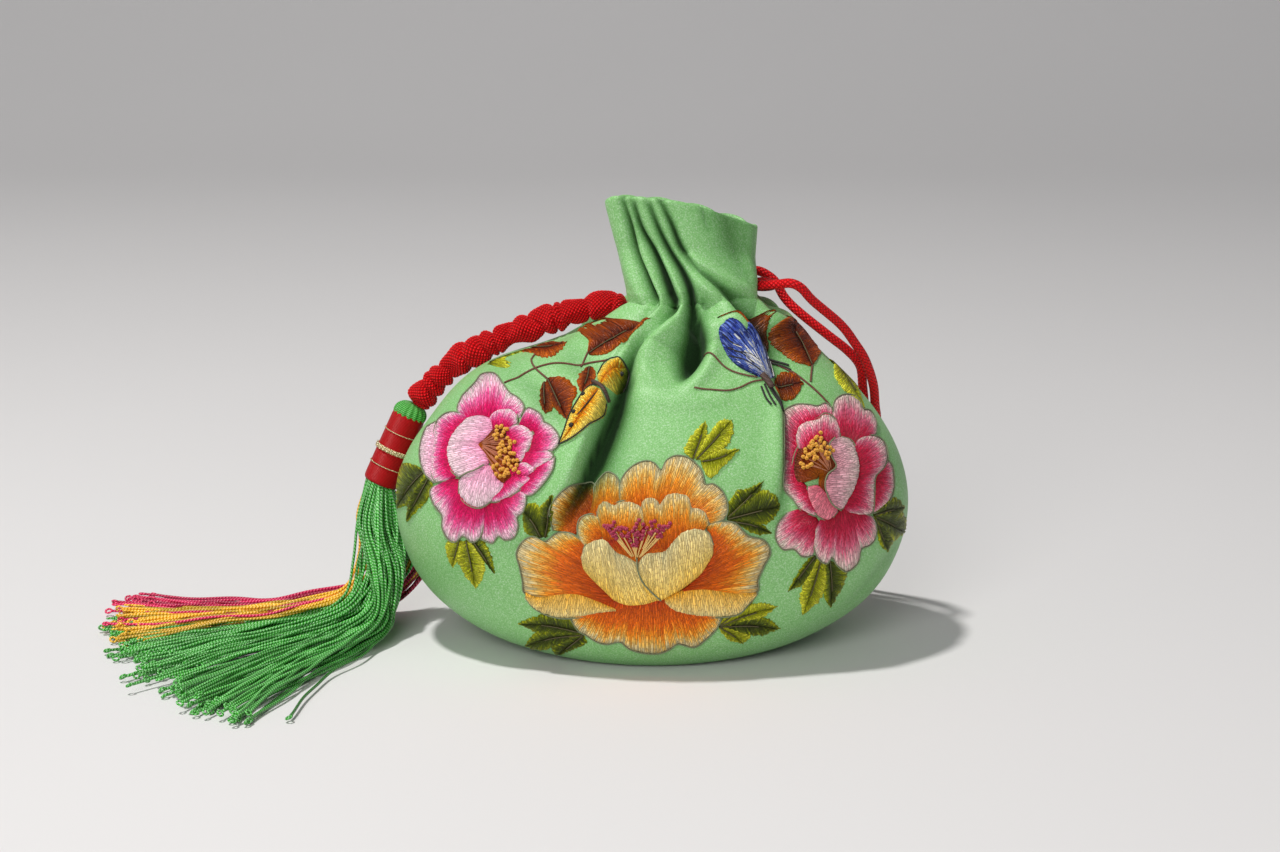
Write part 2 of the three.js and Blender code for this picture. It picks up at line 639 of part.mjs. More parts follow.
function add(name, geometry, color, roughness, group = part) {
  const material = new THREE.MeshStandardMaterial({ color, roughness, metalness: 0 });
  const mesh = new THREE.Mesh(geometry, material);
  mesh.name = name;
  group.add(mesh);
}

const SATIN_GREEN = 0x86cf7e;
const WADDING_WHITE = 0xe9e4d6;
const LINING_GREEN = 0x9ad08f;
const CORD_RED = 0xbd1420;
const GOLD = 0xd2b36a;
const STRAND_GREEN = 0x3f9e42;

for (const [name, side] of [['front', -1], ['back', 1]]) {
  add(`${name}_panel`, bodyLayer(side, 0, SATIN_THICKNESS), SATIN_GREEN, 0.45);
  add(`${name}_wadding`, bodyLayer(side, WADDING_DEPTH, WADDING_THICKNESS), WADDING_WHITE, 0.95);
  add(`${name}_lining`, bodyLayer(side, LINING_DEPTH, LINING_THICKNESS), LINING_GREEN, 0.5);
  add(`${name}_channel`, channelHalf(side), SATIN_GREEN, 0.45);
  add(`${name}_frill`, frill(side), SATIN_GREEN, 0.45);
}

add('left_drawcord', tube(leftChannelRoute, CORD_DIAMETER, CHANNEL_CORD_STEPS), CORD_RED, 0.6);
add('right_drawcord', tube(rightChannelRoute, CORD_DIAMETER, CHANNEL_CORD_STEPS), CORD_RED, 0.6);
add('knotted_cord', knottedCord(), CORD_RED, 0.65);
add('pull_cord', tube(pullRoute, CORD_DIAMETER, PULL_CORD_STEPS), CORD_RED, 0.6);

const head = new THREE.Group();
head.position.copy(WRAP_BOTTOM);
head.quaternion.copy(wrapTurn);
part.add(head);
const coreProfile = [[0, 0], [CORE_RADIUS, 0], [CORE_RADIUS, WRAP_LENGTH], [0, WRAP_LENGTH]];
add('tassel_core', turned(coreProfile), STRAND_GREEN, 0.6, head);
const wrapInner = CORE_RADIUS + PIECE_GAP;
const wrapProfile = [
  [wrapInner, 0],
  [WRAP_RADIUS, 0],
  [WRAP_RADIUS, WRAP_LENGTH],
  [wrapInner, WRAP_LENGTH],
  [wrapInner, 0],
];
add('tassel_wrap', turned(wrapProfile), CORD_RED, 0.4, head);
add('tassel_cap', capGeometry(), STRAND_GREEN, 0.5, head);
const goldPieces = [
  ['upper_gold_thread', UPPER_THREAD_SHARE, GOLD_THREAD_THICKNESS, 2 * GOLD_THREAD_THICKNESS],
  ['gold_braid', BRAID_SHARE, GOLD_BRAID_THICKNESS, GOLD_BRAID_WIDTH],
  ['lower_gold_thread', LOWER_THREAD_SHARE, GOLD_THREAD_THICKNESS, 2 * GOLD_THREAD_THICKNESS],
];
for (const [name, share, thickness, width] of goldPieces) {
  add(name, goldThread(1 - share, thickness, width), GOLD, 0.35, head);
}

// The tassel's strands by colour, from the back to the front, with a small gap between bundles.
const BUNDLE_GAP = 0.07;
const bundles = [
  ['pink_strands', -1, -0.72, 0xd9296b],
  ['yellow_strands', -0.72, -0.4, 0xe3a92c],
  ['green_back_strands', -0.4, 0.1, STRAND_GREEN],
  ['green_middle_strands', 0.1, 0.56, STRAND_GREEN],
  ['green_front_strands', 0.56, 1, STRAND_GREEN],
];
for (const [name, from, to, color] of bundles) {
  add(name, strandBundle(from + BUNDLE_GAP / 2, to - BUNDLE_GAP / 2), color, 0.55);
}

export default part;
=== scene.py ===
"""Dresses the drawstring pouch: padded satin, silk embroidery, knotted cord, tassel and pull cord."""

import bpy
import numpy as np
from bpy.props import FloatProperty, FloatVectorProperty, IntProperty, PointerProperty
from bpy.types import Operator, Panel, PropertyGroup
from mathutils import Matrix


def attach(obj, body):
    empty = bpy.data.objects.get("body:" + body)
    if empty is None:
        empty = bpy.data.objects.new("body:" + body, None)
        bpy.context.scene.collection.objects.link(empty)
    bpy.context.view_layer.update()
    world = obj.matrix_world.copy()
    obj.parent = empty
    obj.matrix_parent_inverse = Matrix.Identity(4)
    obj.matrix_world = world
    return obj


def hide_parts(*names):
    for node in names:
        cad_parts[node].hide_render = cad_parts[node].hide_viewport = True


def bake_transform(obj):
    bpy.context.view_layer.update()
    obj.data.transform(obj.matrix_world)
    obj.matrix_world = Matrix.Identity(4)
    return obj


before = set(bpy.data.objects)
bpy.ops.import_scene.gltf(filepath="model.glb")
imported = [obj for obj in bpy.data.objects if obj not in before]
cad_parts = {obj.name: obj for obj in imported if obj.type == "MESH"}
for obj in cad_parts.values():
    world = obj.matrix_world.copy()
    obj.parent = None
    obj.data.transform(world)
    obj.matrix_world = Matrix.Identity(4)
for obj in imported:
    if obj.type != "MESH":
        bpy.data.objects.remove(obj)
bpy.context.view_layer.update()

bl_info = {
    "name": "Embroidered drawstring pouch",
    "version": (1, 0, 0),
    "blender": (4, 5, 0),
    "location": "3D View > Sidebar > Pouch",
    "description": "Makes the pouch's cloth, embroidery, cords and tassel as separate pieces",
    "category": "Add Mesh",
}

MM = 0.001

# The view that the pouch is drawn from. Places named in picture points below belong to it.
LENS = 85.0
SENSOR = 36.0
PICTURE_WIDTH = 1280
PICTURE_HEIGHT = 852
VIEW_PITCH = np.radians(12.5)
VIEW_PLACE = np.array([-3.84, -929.78, 274.30])
VIEW_AHEAD = np.array([0.0, np.cos(VIEW_PITCH), -np.sin(VIEW_PITCH)])
VIEW_ACROSS = np.array([1.0, 0.0, 0.0])
VIEW_UP = np.array([0.0, np.sin(VIEW_PITCH), np.cos(VIEW_PITCH)])
POINTS_PER_SLOPE = LENS / SENSOR * PICTURE_WIDTH
MM_PER_POINT = 0.32

# Cloth body, in millimetres, as in the solid model.
BASE_RADIUS = 33.0
BASE_SEAM_HALF = 20.0
BELLY_HALF_WIDTH = 81.0
BELLY_HALF_DEPTH = 52.0
BELLY_HEIGHT = 44.0
NECK_HALF_WIDTH = 17.5
NECK_HALF_DEPTH = 11.5
NECK_CENTRE = 12.5
NECK_HEIGHT = 105.8
NECK_RISE = 0.08
SEAM_GAP = 0.2
CHANNEL_RISE = 9.0
FOOT_HALF_WIDTH = 19.2
FOOT_HALF_DEPTH = 11.0
RIM_HALF_WIDTH = 23.6
RIM_HALF_DEPTH = 10.0
RIM_CENTRE = 9.1
RIM_LEFT = 141.0
RIM_RIGHT = 131.5
RIM_BACKWARD_FALL = 0.14

# Where the tassel's wrap starts and ends.
WRAP_TOP = np.array([-77.8, 17.5, 68.0])
WRAP_BOTTOM = np.array([-87.3, 16.0, 46.0])
WRAP_RADIUS = 5.4

# Routes of the two free cords, in metres, as in the solid model.
KNOT_ROUTE = [
    (-0.0080, 0.0010, 0.10706),
    (-0.0135, 0.0024, 0.1062),
    (-0.0185, 0.0036, 0.1058),
    (-0.0240, 0.0047, 0.1042),
    (-0.0310, 0.0058, 0.1016),
    (-0.0390, 0.0070, 0.0986),
    (-0.0480, 0.0085, 0.0944),
    (-0.0545, 0.0100, 0.0910),
    (-0.0616, 0.0126, 0.0865),
    (-0.0684, 0.0152, 0.0802),
    (-0.0732, 0.0172, 0.0742),
    (-0.0753, 0.0175, 0.0710),
]
BRAID_PITCH = 1.3
BRAID_ROUND = 20
PULL_ROUTE = [
    (0.0327, 0.0026, 0.1136),
    (0.0351, 0.0026, 0.1138),
    (0.0379, 0.0048, 0.1127),
    (0.0372, 0.0076, 0.1116),
    (0.0336, 0.0092, 0.1112),
    (0.0296, 0.0099, 0.1120),
    (0.0298, 0.0108, 0.1148),
    (0.0334, 0.0114, 0.1158),
    (0.0384, 0.0118, 0.1128),
    (0.0418, 0.0106, 0.1074),
    (0.0462, 0.0086, 0.1032),
    (0.0550, 0.0095, 0.0960),
    (0.0622, 0.0130, 0.0898),
    (0.0664, 0.0170, 0.0842),
    (0.0676, 0.0200, 0.0772),
    (0.0685, 0.0250, 0.0660),
    (0.0660, 0.0330, 0.0520),
    (0.0600, 0.0420, 0.0360),
    (0.0540, 0.0500, 0.0200),
    (0.0500, 0.0560, 0.0080),
    (0.0460, 0.0615, 0.0024),
    (0.0410, 0.0670, 0.0018),
    (0.0390, 0.0740, 0.0018),
    (0.0440, 0.0800, 0.0018),
    (0.0520, 0.0790, 0.0018),
    (0.0575, 0.0720, 0.0018),
    (0.0600, 0.0640, 0.0022),
    (0.0635, 0.0570, 0.0080),
    (0.0680, 0.0480, 0.0200),
    (0.0710, 0.0400, 0.0360),
    (0.0730, 0.0320, 0.0520),
    (0.0728, 0.0260, 0.0640),
    (0.0719, 0.0220, 0.0700),
    (0.0708, 0.0175, 0.0780),
    (0.0678, 0.0130, 0.0867),
    (0.0642, 0.0100, 0.0928),
    (0.0593, 0.0060, 0.0996),
    (0.0502, 0.0000, 0.1082),
    (0.0464, -0.0032, 0.1127),
    (0.0430, -0.0042, 0.1145),
    (0.0390, -0.0032, 0.1140),
    (0.0351, -0.0026, 0.1138),
    (0.0327, -0.0026, 0.1136),
]

# Drawcords in the channel: how deep under the neck, how far out and apart where they leave it,
# their middle height over the neck and half the height between them.
CORD_DEPTH = 3.0
CORD_REACH = 2.4
CORD_APART = 2.6
CORD_HEIGHT = 4.5
CORD_STEP = 1.65

# Folds of the front, as lines in picture points from the top down. Each place is x, y, the height
# there in mm, up for a ridge and down for a valley, and the widths in mm to the left and right.
FOLDS = {
    "pleat_1": [(622, 199, -1.8, 1.2, 0.8), (629, 224, -2.8, 1.3, 0.8), (636, 253, -3.2, 1.4, 0.9),
                (649, 282, -4.0, 1.6, 1.0), (658, 306, -4.2, 1.6, 1.2), (647, 316, -3.2, 1.6, 1.4),
                (633, 331, -3.2, 1.6, 1.6), (621, 350, -2.6, 1.8, 1.8), (610, 372, -1.2, 2.0, 2.0)],
    "pleat_2": [(633, 202, -2.0, 1.1, 0.8), (641, 228, -3.0, 1.2, 0.8), (654, 252, -3.8, 1.3, 0.9),
                (664, 274, -5.0, 1.5, 1.1), (672, 296, -6.4, 1.6, 1.3), (675, 307, -6.2, 1.5, 1.5),
                (663, 322, -4.4, 1.5, 1.8), (648, 336, -4.2, 1.6, 2.0), (636, 347, -4.6, 1.6, 2.2),
                (630, 358, -5.2, 1.6, 2.6), (623, 377, -6.2, 1.4, 3.6), (614, 402, -7.2, 1.3, 4.8),
                (604, 426, -7.6, 1.3, 5.8), (591, 457, -7.2, 1.4, 6.6), (581, 482, -5.8, 1.6, 7.0),
                (569, 506, -4.0, 2.0, 7.0), (549, 538, -0.6, 3.0, 6.0)],
    "pleat_3": [(649, 203, -1.8, 1.1, 0.8), (659, 229, -2.8, 1.2, 0.8), (670, 252, -3.4, 1.3, 0.9),
                (683, 273, -4.2, 1.6, 1.0), (691, 291, -5.8, 2.2, 1.1), (694, 306, -7.0, 3.4, 1.2),
                (699, 320, -8.4, 5.0, 1.3), (703, 335, -9.4, 6.2, 1.3), (702, 347, -9.4, 6.8, 1.4),
                (695, 359, -7.8, 6.4, 1.6), (684, 374, -3.4, 4.5, 1.8), (678, 382, -0.6, 3.0, 1.8)],
    "pleat_4": [(661, 200, -1.8, 1.1, 0.8), (672, 223, -2.8, 1.2, 0.8), (682, 248, -3.2, 1.4, 0.9),
                (696, 268, -3.4, 1.8, 1.2), (713, 281, -3.4, 1.8, 2.2), (733, 301, -4.2, 1.8, 3.6),
                (748, 319, -4.8, 1.8, 4.4), (762, 338, -4.4, 1.8, 4.8), (771, 354, -3.4, 1.8, 5.0),
                (778, 375, -2.4, 1.8, 5.0), (785, 405, -2.8, 1.4, 5.0), (786, 440, -3.6, 1.3, 5.0),
                (786, 475, -3.2, 1.4, 5.0), (783, 510, -1.6, 2.0, 5.0), (780, 535, 0.0, 2.5, 5.0)],
    "frill_side": [(728, 204, -1.8, 8.5, 9.0), (732, 232, -1.9, 8.0, 9.0), (738, 256, -1.6, 6.0, 8.0),
                   (744, 272, -1.0, 4.0, 6.0)],
    "frill_crease": [(703, 203, -0.6, 1.2, 2.0), (707, 220, -0.5, 1.2, 2.0), (712, 236, 0.0, 1.2, 2.0)],
    "frill_edge": [(607, 205, 0.8, 2.0, 3.0), (616, 235, 1.2, 2.4, 3.0), (626, 262, 1.2, 2.4, 3.0),
                   (640, 290, 1.6, 2.4, 2.4), (648, 306, 1.4, 2.4, 2.0)],
    "neck_ridge_1": [(640, 250, 0.4, 1.6, 1.6), (654, 280, 1.4, 1.8, 1.8), (663, 300, 2.4, 2.0, 1.8),
                     (656, 313, 2.8, 2.0, 1.8), (641, 326, 2.6, 2.0, 1.8), (628, 340, 2.6, 2.0, 2.0),
                     (617, 360, 2.2, 2.4, 2.0), (609, 384, 2.2, 3.0, 2.0)],
    "neck_ridge_2": [(662, 255, 0.4, 1.8, 1.8), (676, 280, 1.8, 2.0, 2.0), (684, 297, 3.0, 2.4, 2.4),
                     (680, 310, 3.6, 2.4, 3.0), (664, 325, 3.4, 2.2, 4.0), (649, 339, 3.4, 2.2, 5.0),
                     (640, 352, 2.8, 2.4, 6.0), (636, 368, 1.8, 2.6, 6.0)],
    "neck_ridge_3": [(688, 262, 0.6, 2.0, 2.0), (703, 282, 2.0, 2.6, 2.0), (718, 297, 2.8, 4.0, 2.2),
                     (733, 315, 3.2, 5.0, 2.4), (745, 334, 3.0, 5.0, 2.6), (755, 354, 2.4, 5.0, 2.8),
                     (765, 378, 1.2, 5.0, 3.0)],
    "neck_dimple": [(702, 294, -0.8, 1.6, 2.0), (704, 304, -2.4, 1.8, 2.6), (708, 315, -1.6, 2.0, 3.0)],
    "shoulder_top": [(690, 256, 0.8, 3.0, 1.2), (706, 266, 2.0, 3.0, 1.2), (722, 276, 2.6, 3.0, 1.3),
                     (738, 286, 2.4, 3.0, 1.6), (752, 296, 1.4, 3.0, 2.2), (766, 308, 0.4, 3.0, 3.0)],
    "left_bulge_edge": [(614, 378, 1.6, 5.0, 1.3), (604, 400, 2.8, 7.0, 1.4), (593, 424, 3.4, 8.0, 1.4),
                        (580, 452, 3.2, 8.0, 1.5), (569, 478, 2.6, 8.0, 1.7), (556, 504, 1.4, 8.0, 2.2)],
    "left_dip": [(512, 376, -0.8, 4.0, 4.0), (528, 389, -1.6, 4.0, 4.0), (546, 405, -2.0, 4.0, 4.0),
                 (560, 424, -1.4, 4.0, 4.0), (570, 442, -0.6, 4.0, 4.0)],
    "left_dip_upper": [(560, 345, -0.6, 3.5, 3.5), (576, 362, -1.6, 3.5, 3.5), (590, 380, -1.4, 3.5, 3.5)],
    "middle_rise": [(636, 394, 0.6, 3.0, 3.0), (660, 399, 1.2, 3.0, 3.0), (690, 402, 1.2, 3.0, 3.0),
                    (720, 398, 0.6, 3.0, 3.0)],
    "middle_dip": [(648, 386, -0.4, 2.2, 2.2), (672, 391, -1.1, 2.2, 2.2), (700, 388, -0.4, 2.2, 2.2)],
    "pocket_lip": [(641, 368, 0.4, 2.4, 2.4), (658, 385, 1.0, 2.4, 2.4), (679, 391, 1.2, 2.4, 2.4),
                   (697, 382, 1.6, 2.4, 2.4), (710, 362, 1.6, 3.0, 2.4), (715, 345, 1.0, 3.0, 2.4)],
    "right_bulge": [(797, 400, 0.8, 6.0, 10.0), (803, 440, 1.8, 6.0, 10.0), (805, 480, 1.8, 6.0, 10.0),
                    (800, 520, 0.8, 6.0, 10.0)],
    "panel_edge": [(776, 392, 0.8, 4.0, 1.6), (780, 420, 1.6, 4.0, 1.6), (780, 455, 1.6, 4.0, 1.6),
                   (778, 490, 0.8, 4.0, 1.8)],
    "right_crease": [(906, 529, 0.0, 1.6, 1.6), (896, 548, -0.8, 1.6, 1.6), (882, 566, -1.0, 1.6, 1.6),
                     (866, 586, -1.0, 1.6, 1.6), (846, 606, -0.8, 1.6, 1.6), (822, 626, 0.0, 1.6, 1.6)],
}

# Levels of the frill's rim and foot, and the fold depth in mm that gets the full painted shade.
CLOTH_RIM, CLOTH_FOOT = 4.0, 3.0
FULL_SHADE_FOLD = 5.0

# The cloth's UV for a turn of one radian or a rise of one level.
CLOTH_UV = 60


def mix(a, b, share):
    """a where share is 0, b where it is 1, and on a straight line between."""
    return a + (b - a) * share


def neck_plane(x):
    """Height of the neck at x: level with a small rise to the right."""
    return NECK_HEIGHT + NECK_RISE * (x - NECK_CENTRE)


def smoothstep(low, high, value):
    """0 below low, 1 above high and an S curve between."""
    share = np.clip((value - low) / (high - low), 0.0, 1.0)
    return share * share * (3 - 2 * share)


def unit(vectors):
    """Each vector divided by its length."""
    return vectors / np.maximum(np.linalg.norm(vectors, axis=-1, keepdims=True), 1e-12)


def smooth_line(points, count):
    """Catmull-Rom curve through the points, at count places an equal length apart.

    A place between two points is a cubic of the parameter whose slope at each point is half
    the step between its neighbours.
    """
    knots = np.asarray(points, float)
    if len(knots) < 2:
        return np.repeat(knots, count, axis=0)
    ends = np.vstack([2 * knots[0] - knots[1], knots, 2 * knots[-1] - knots[-2]])
    at = np.linspace(0, len(knots) - 1, 24 * (len(knots) - 1) + 1)
    k = np.minimum(at.astype(int), len(knots) - 2)
    t = (at - k)[:, None]
    p0, p1, p2, p3 = ends[k], ends[k + 1], ends[k + 2], ends[k + 3]
    line = p1 + 0.5 * t * (p2 - p0 + t * (2 * p0 - 5 * p1 + 4 * p2 - p3 + t * (3 * (p1 - p2) + p3 - p0)))
    along = np.concatenate([[0], np.cumsum(np.linalg.norm(np.diff(line, axis=0), axis=1))])
    wanted = np.linspace(0, along[-1], count)
    return np.stack([np.interp(wanted, along, line[:, c]) for c in range(line.shape[1])], axis=1)


def line_length(points):
    """Sum of the distances between neighbouring points."""
    return float(np.linalg.norm(np.diff(points, axis=0), axis=1).sum())


def section_point(turn, level, side):
    """A point of the plain cloth, before any fold.

    turn runs from -90 degrees at the left seam to 90 at the right one. level runs from -1 at the
    middle of the base, through 0 at its edge, 1 at the belly, 2 at the neck and 3 at the frill's
    foot to 4 at its rim. Up to the belly the width grows as the sine and the height as one minus
    the cosine of a quarter turn. Above it the width falls as a power of that quarter's cosine.
    """
    base = np.clip(level + 1, 0, 1)
    lower = np.clip(level, 0, 1) * np.pi / 2
    upper = np.clip(level - 1, 0, 1)
    channel = np.clip(level - 2, 0, 1)
    frill = np.clip(level - 3, 0, 1)
    fall = np.clip(np.cos(upper * np.pi / 2), 0, 1)
    neck_left, neck_right = NECK_CENTRE - NECK_HALF_WIDTH, NECK_CENTRE + NECK_HALF_WIDTH
    wide = np.where(
        level < 0, mix(BASE_SEAM_HALF, BASE_RADIUS, base), mix(BASE_RADIUS, BELLY_HALF_WIDTH, np.sin(lower))
    )
    deep = np.where(level < 0, mix(SEAM_GAP, BASE_RADIUS, base), mix(BASE_RADIUS, BELLY_HALF_DEPTH, np.sin(lower)))
    high = BELLY_HEIGHT * (1 - np.cos(lower))
    left = np.where(level <= 1, -wide, mix(neck_left, -BELLY_HALF_WIDTH, fall ** (0.5 + 0.32 * upper**2)))
    right = np.where(level <= 1, wide, mix(neck_right, BELLY_HALF_WIDTH, fall**0.8))
    deep = np.where(level <= 1, deep, mix(NECK_HALF_DEPTH, BELLY_HALF_DEPTH, fall**0.8))
    left_high = np.where(level <= 1, high, mix(BELLY_HEIGHT, neck_plane(neck_left), upper))
    right_high = np.where(level <= 1, high, mix(BELLY_HEIGHT, neck_plane(neck_right), upper))
    across = (1 + np.sin(turn)) / 2
    x = mix(left, right, across)
    z = mix(left_high, right_high, across)
    half = mix(mix(NECK_HALF_WIDTH, FOOT_HALF_WIDTH, channel), RIM_HALF_WIDTH, frill)
    x = np.where(level > 2, mix(NECK_CENTRE, RIM_CENTRE, frill) + half * np.sin(turn), x)
    collar_deep = mix(mix(NECK_HALF_DEPTH, FOOT_HALF_DEPTH, channel), RIM_HALF_DEPTH, frill)
    deep = np.where(level > 2, collar_deep, deep)
    y = side * (SEAM_GAP + (deep - SEAM_GAP) * np.clip(np.cos(turn), 0, 1))
    foot = neck_plane(x) + CHANNEL_RISE * channel
    along_rim = np.clip((x - RIM_CENTRE + RIM_HALF_WIDTH) / (2 * RIM_HALF_WIDTH), 0, 1)
    rim = mix(RIM_LEFT, RIM_RIGHT, along_rim**2.2) - RIM_BACKWARD_FALL * y
    z = np.where(level > 2, mix(foot, rim, frill), z)
    return np.stack([x, y, z], axis=-1)


def plain_point(turn, level, side):
    """The plain cloth with its hard turns at the neck eased: a mean of five levels about this one."""
    reach = 0.012 + 0.16 * np.exp(-(((level - 2.08) / 0.36) ** 2))
    reach = reach * smoothstep(0.0, 0.15, level)
    total = 0
    for step, weight in ((-2, 0.1), (-1, 0.25), (0, 0.3), (1, 0.25), (2, 0.1)):
        total = total + weight * section_point(turn, np.clip(level + step * reach, -1, 4), side)
    return total


def plain_normal(turn, level, side):
    """Outward direction of the plain cloth, from small steps along it and up it."""
    step = 0.02
    along = plain_point(turn + step, level, side) - plain_point(turn - step, level, side)
    up = plain_point(turn, np.minimum(level + step, 4), side) - plain_point(turn, np.maximum(level - step, -1), side)
    return unit(np.cross(along, up) * -side)


def in_picture(points):
    """Where points in mm fall in the picture, by a plain perspective from the view's place."""
    away = points - VIEW_PLACE
    depth = away @ VIEW_AHEAD
    across = PICTURE_WIDTH / 2 + POINTS_PER_SLOPE * (away @ VIEW_ACROSS) / depth
    down = PICTURE_HEIGHT / 2 - POINTS_PER_SLOPE * (away @ VIEW_UP) / depth
    return np.stack([across, down], axis=-1)


def place_on_front(spots):
    """turn and level of the puffed front where lines of sight through picture points meet it.

    The plain front's place is raised by the cloth's even lift, and the picture point is set back
    by as much as that moved it.
    """
    turn, level = place_on_plain(spots)
    plain = plain_point(turn, level, -1)
    raised = plain + plain_normal(turn, level, -1) * even_lift(turn, level, plain)[:, None]
    return place_on_plain(2 * spots - in_picture(raised))


def place_on_plain(spots):
    """turn and level of the plain front where lines of sight through picture points meet it.

    Each line is walked from in front of the pouch until it is inside the section at its height,
    and the last step is halved until the place is close enough.
    """
    ray = VIEW_AHEAD + np.outer((spots[:, 0] - PICTURE_WIDTH / 2) / POINTS_PER_SLOPE, VIEW_ACROSS)
    ray = ray + np.outer((PICTURE_HEIGHT / 2 - spots[:, 1]) / POINTS_PER_SLOPE, VIEW_UP)

    def measures(depth):
        point = VIEW_PLACE + ray * ((depth - VIEW_PLACE[1]) / ray[:, 1])[:, None]
        x, z = point[:, 0], point[:, 2]
        low = np.arccos(np.clip(1 - z / BELLY_HEIGHT, -1, 1)) / (np.pi / 2)
        level = np.where(z < BELLY_HEIGHT, low, 1 + (z - BELLY_HEIGHT) / (neck_plane(x) - BELLY_HEIGHT))
        level = np.clip(level, 0, 2)
        left = section_point(np.full_like(x, -np.pi / 2), level, -1)[:, 0]
        right = section_point(np.full_like(x, np.pi / 2), level, -1)[:, 0]
        deep = -section_point(np.zeros_like(x), level, -1)[:, 1]
        sine = (x - (left + right) / 2) / ((right - left) / 2)
        return level, sine, (depth / deep) ** 2 + sine**2 - 1

    near, far = np.full(len(spots), -62.0), np.full(len(spots), 0.0)
    found = np.zeros(len(spots), bool)
    for depth in np.linspace(-62, 0, 63):
        inside = measures(np.full(len(spots), depth))[2] < 0
        far = np.where(inside & ~found, depth, far)
        near = np.where(inside & ~found, depth - 1, near)
        found |= inside
    for _ in range(14):
        middle = (near + far) / 2
        inside = measures(middle)[2] < 0
        near, far = np.where(inside, near, middle), np.where(inside, middle, far)
    level, sine, _ = measures(far)
    return np.arcsin(np.clip(sine, -0.999, 0.999)), level


def fold_height(spots):
    """Height of the front's folds at picture points, each a rise or fall about its own line.

    Away from its line a ridge falls as a bell curve. A valley rises more steeply near its line,
    as e to the minus the 1.4th power of the distance over the width, like cloth that is pinched.
    """
    total = np.zeros(len(spots))
    for places in FOLDS.values():
        line = smooth_line(places, 4 * len(places))
        start, step = line[:-1, :2], np.diff(line[:, :2], axis=0)
        nearest, values, toward = np.full(len(spots), np.inf), np.zeros((len(spots), 3)), np.zeros(len(spots))
        for k in range(len(start)):
            away = spots - start[k]
            share = np.clip((away @ step[k]) / (step[k] @ step[k]), 0, 1)
            gap = away - share[:, None] * step[k]
            distance = np.hypot(gap[:, 0], gap[:, 1])
            closer = distance < nearest
            nearest = np.where(closer, distance, nearest)
            values = np.where(closer[:, None], mix(line[k, 2:], line[k + 1, 2:], share[:, None]), values)
            toward = np.where(closer, step[k, 1] * gap[:, 0] - step[k, 0] * gap[:, 1], toward)
        width = np.where(toward > 0, values[:, 2], values[:, 1])
        power = np.where(values[:, 0] < 0, 1.4, 2.0)
        total += values[:, 0] * np.exp(-((nearest * MM_PER_POINT / width) ** power))
    return total


def shoulder_puff(turn, level):
    """Rise of the gathered cloth beside the cinched neck, and of the left shoulder under the cord."""
    at_right = 2.6 * np.exp(-(((np.sin(turn) - 1) / 0.35) ** 2)) * np.exp(-(((level - 1.9) / 0.11) ** 2))
    at_left = 3.6 * np.exp(-(((np.sin(turn) + 1) / 0.55) ** 2)) * np.exp(-(((level - 1.67) / 0.17) ** 2))
    all_round = 0.8 * np.exp(-(((level - 1.93) / 0.09) ** 2))
    return at_right + at_left + all_round


def slow_waves(points):
    """Gentle unevenness of padded cloth: three crossing sine waves."""
    x, z = points[..., 0], points[..., 2]
    broad = 0.35 * np.sin(x / 11 + z / 17) + 0.3 * np.sin(x / 23 - z / 9 + 1.3)
    return broad + 0.2 * np.sin(x / 6.1 + 2.1) * np.sin(z / 7.3)


def back_gathers(turn, level):
    """Pleats of the back: cusped waves round the neck that fade down the body and up the frill."""
    share = np.where(level < 2, np.exp(-(((level - 2) / 0.42) ** 2)), np.exp(-(((level - 2) / 2.4) ** 2)))
    wander = 0.35 * np.sin(1.7 * level + 2.0 * turn)
    wave = np.abs(np.sin(5.5 * turn + wander)) ** 0.7
    return 3.8 * share * (wave - 1)


def gathered_rise(turn, level):
    """How far the gathered cloth stands off the drawcords: all of it along the channel, less above."""
    share = smoothstep(1.78, 1.98, level) * (1 - 0.62 * smoothstep(2.9, 3.5, level))
    return 4.4 * share * smoothstep(0.0, 0.55, np.cos(turn))


def even_lift(turn, level, plain):
    """How far the cloth stands off its plain surface without its folds.

    The left shoulder has the knotted cord's shallow bed.
    """
    waves = slow_waves(plain) * smoothstep(0.1, 0.6, level) * smoothstep(0.0, 0.5, np.cos(turn))
    bed = 0.9 * np.exp(-(((np.sin(turn) + 1) / 0.5) ** 2))
    bed = bed * smoothstep(1.15, 1.5, level) * (1 - smoothstep(2, 2.1, level))
    return gathered_rise(turn, level) + waves + shoulder_puff(turn, level) - bed


def cloth_lift(turn, level, side, plain):
    """How far the cloth stands off its plain surface, and its folds' own height there.

    The folds fade to the side seams. Along the channel the cloth never goes further in than the
    drawcords let it.
    """
    fade = smoothstep(0.0, 0.3, np.cos(turn))
    rise = gathered_rise(turn, level)
    if side < 0:
        flat = (plain + plain_normal(turn, level, side) * rise[..., None]).reshape(-1, 3)
        folds = fold_height(in_picture(flat)).reshape(turn.shape)
        folds = folds * smoothstep(0.35, 0.8, level)
    else:
        folds = back_gathers(turn, level)
    folds = fade * folds
    lift = folds + even_lift(turn, level, plain)
    least = np.where(level < 2.95, -0.5, -3.2) - 8 * (1 - smoothstep(1.9, 2.05, level))
    return np.maximum(lift, least), folds


def grid_faces(rows, columns, closed=False):
    """Quads of a grid of points, and each corner's row and column.

    closed joins the last column to the first.
    """
    row = np.arange(rows - 1)[:, None]
    column = np.arange(columns if closed else columns - 1)[None, :]
    row, column = np.broadcast_arrays(row, column)
    ahead = (column + 1) % columns
    quads = np.stack(
        [row * columns + column, row * columns + ahead, (row + 1) * columns + ahead, (row + 1) * columns + column], -1
    )
    corners = np.stack(
        [
            np.stack([row, column], -1), np.stack([row, column + 1], -1), np.stack([row + 1, column + 1], -1),
            np.stack([row + 1, column], -1)
        ],
        -2
    )
    return quads.reshape(-1, 4), corners.reshape(-1, 4, 2).astype(float)


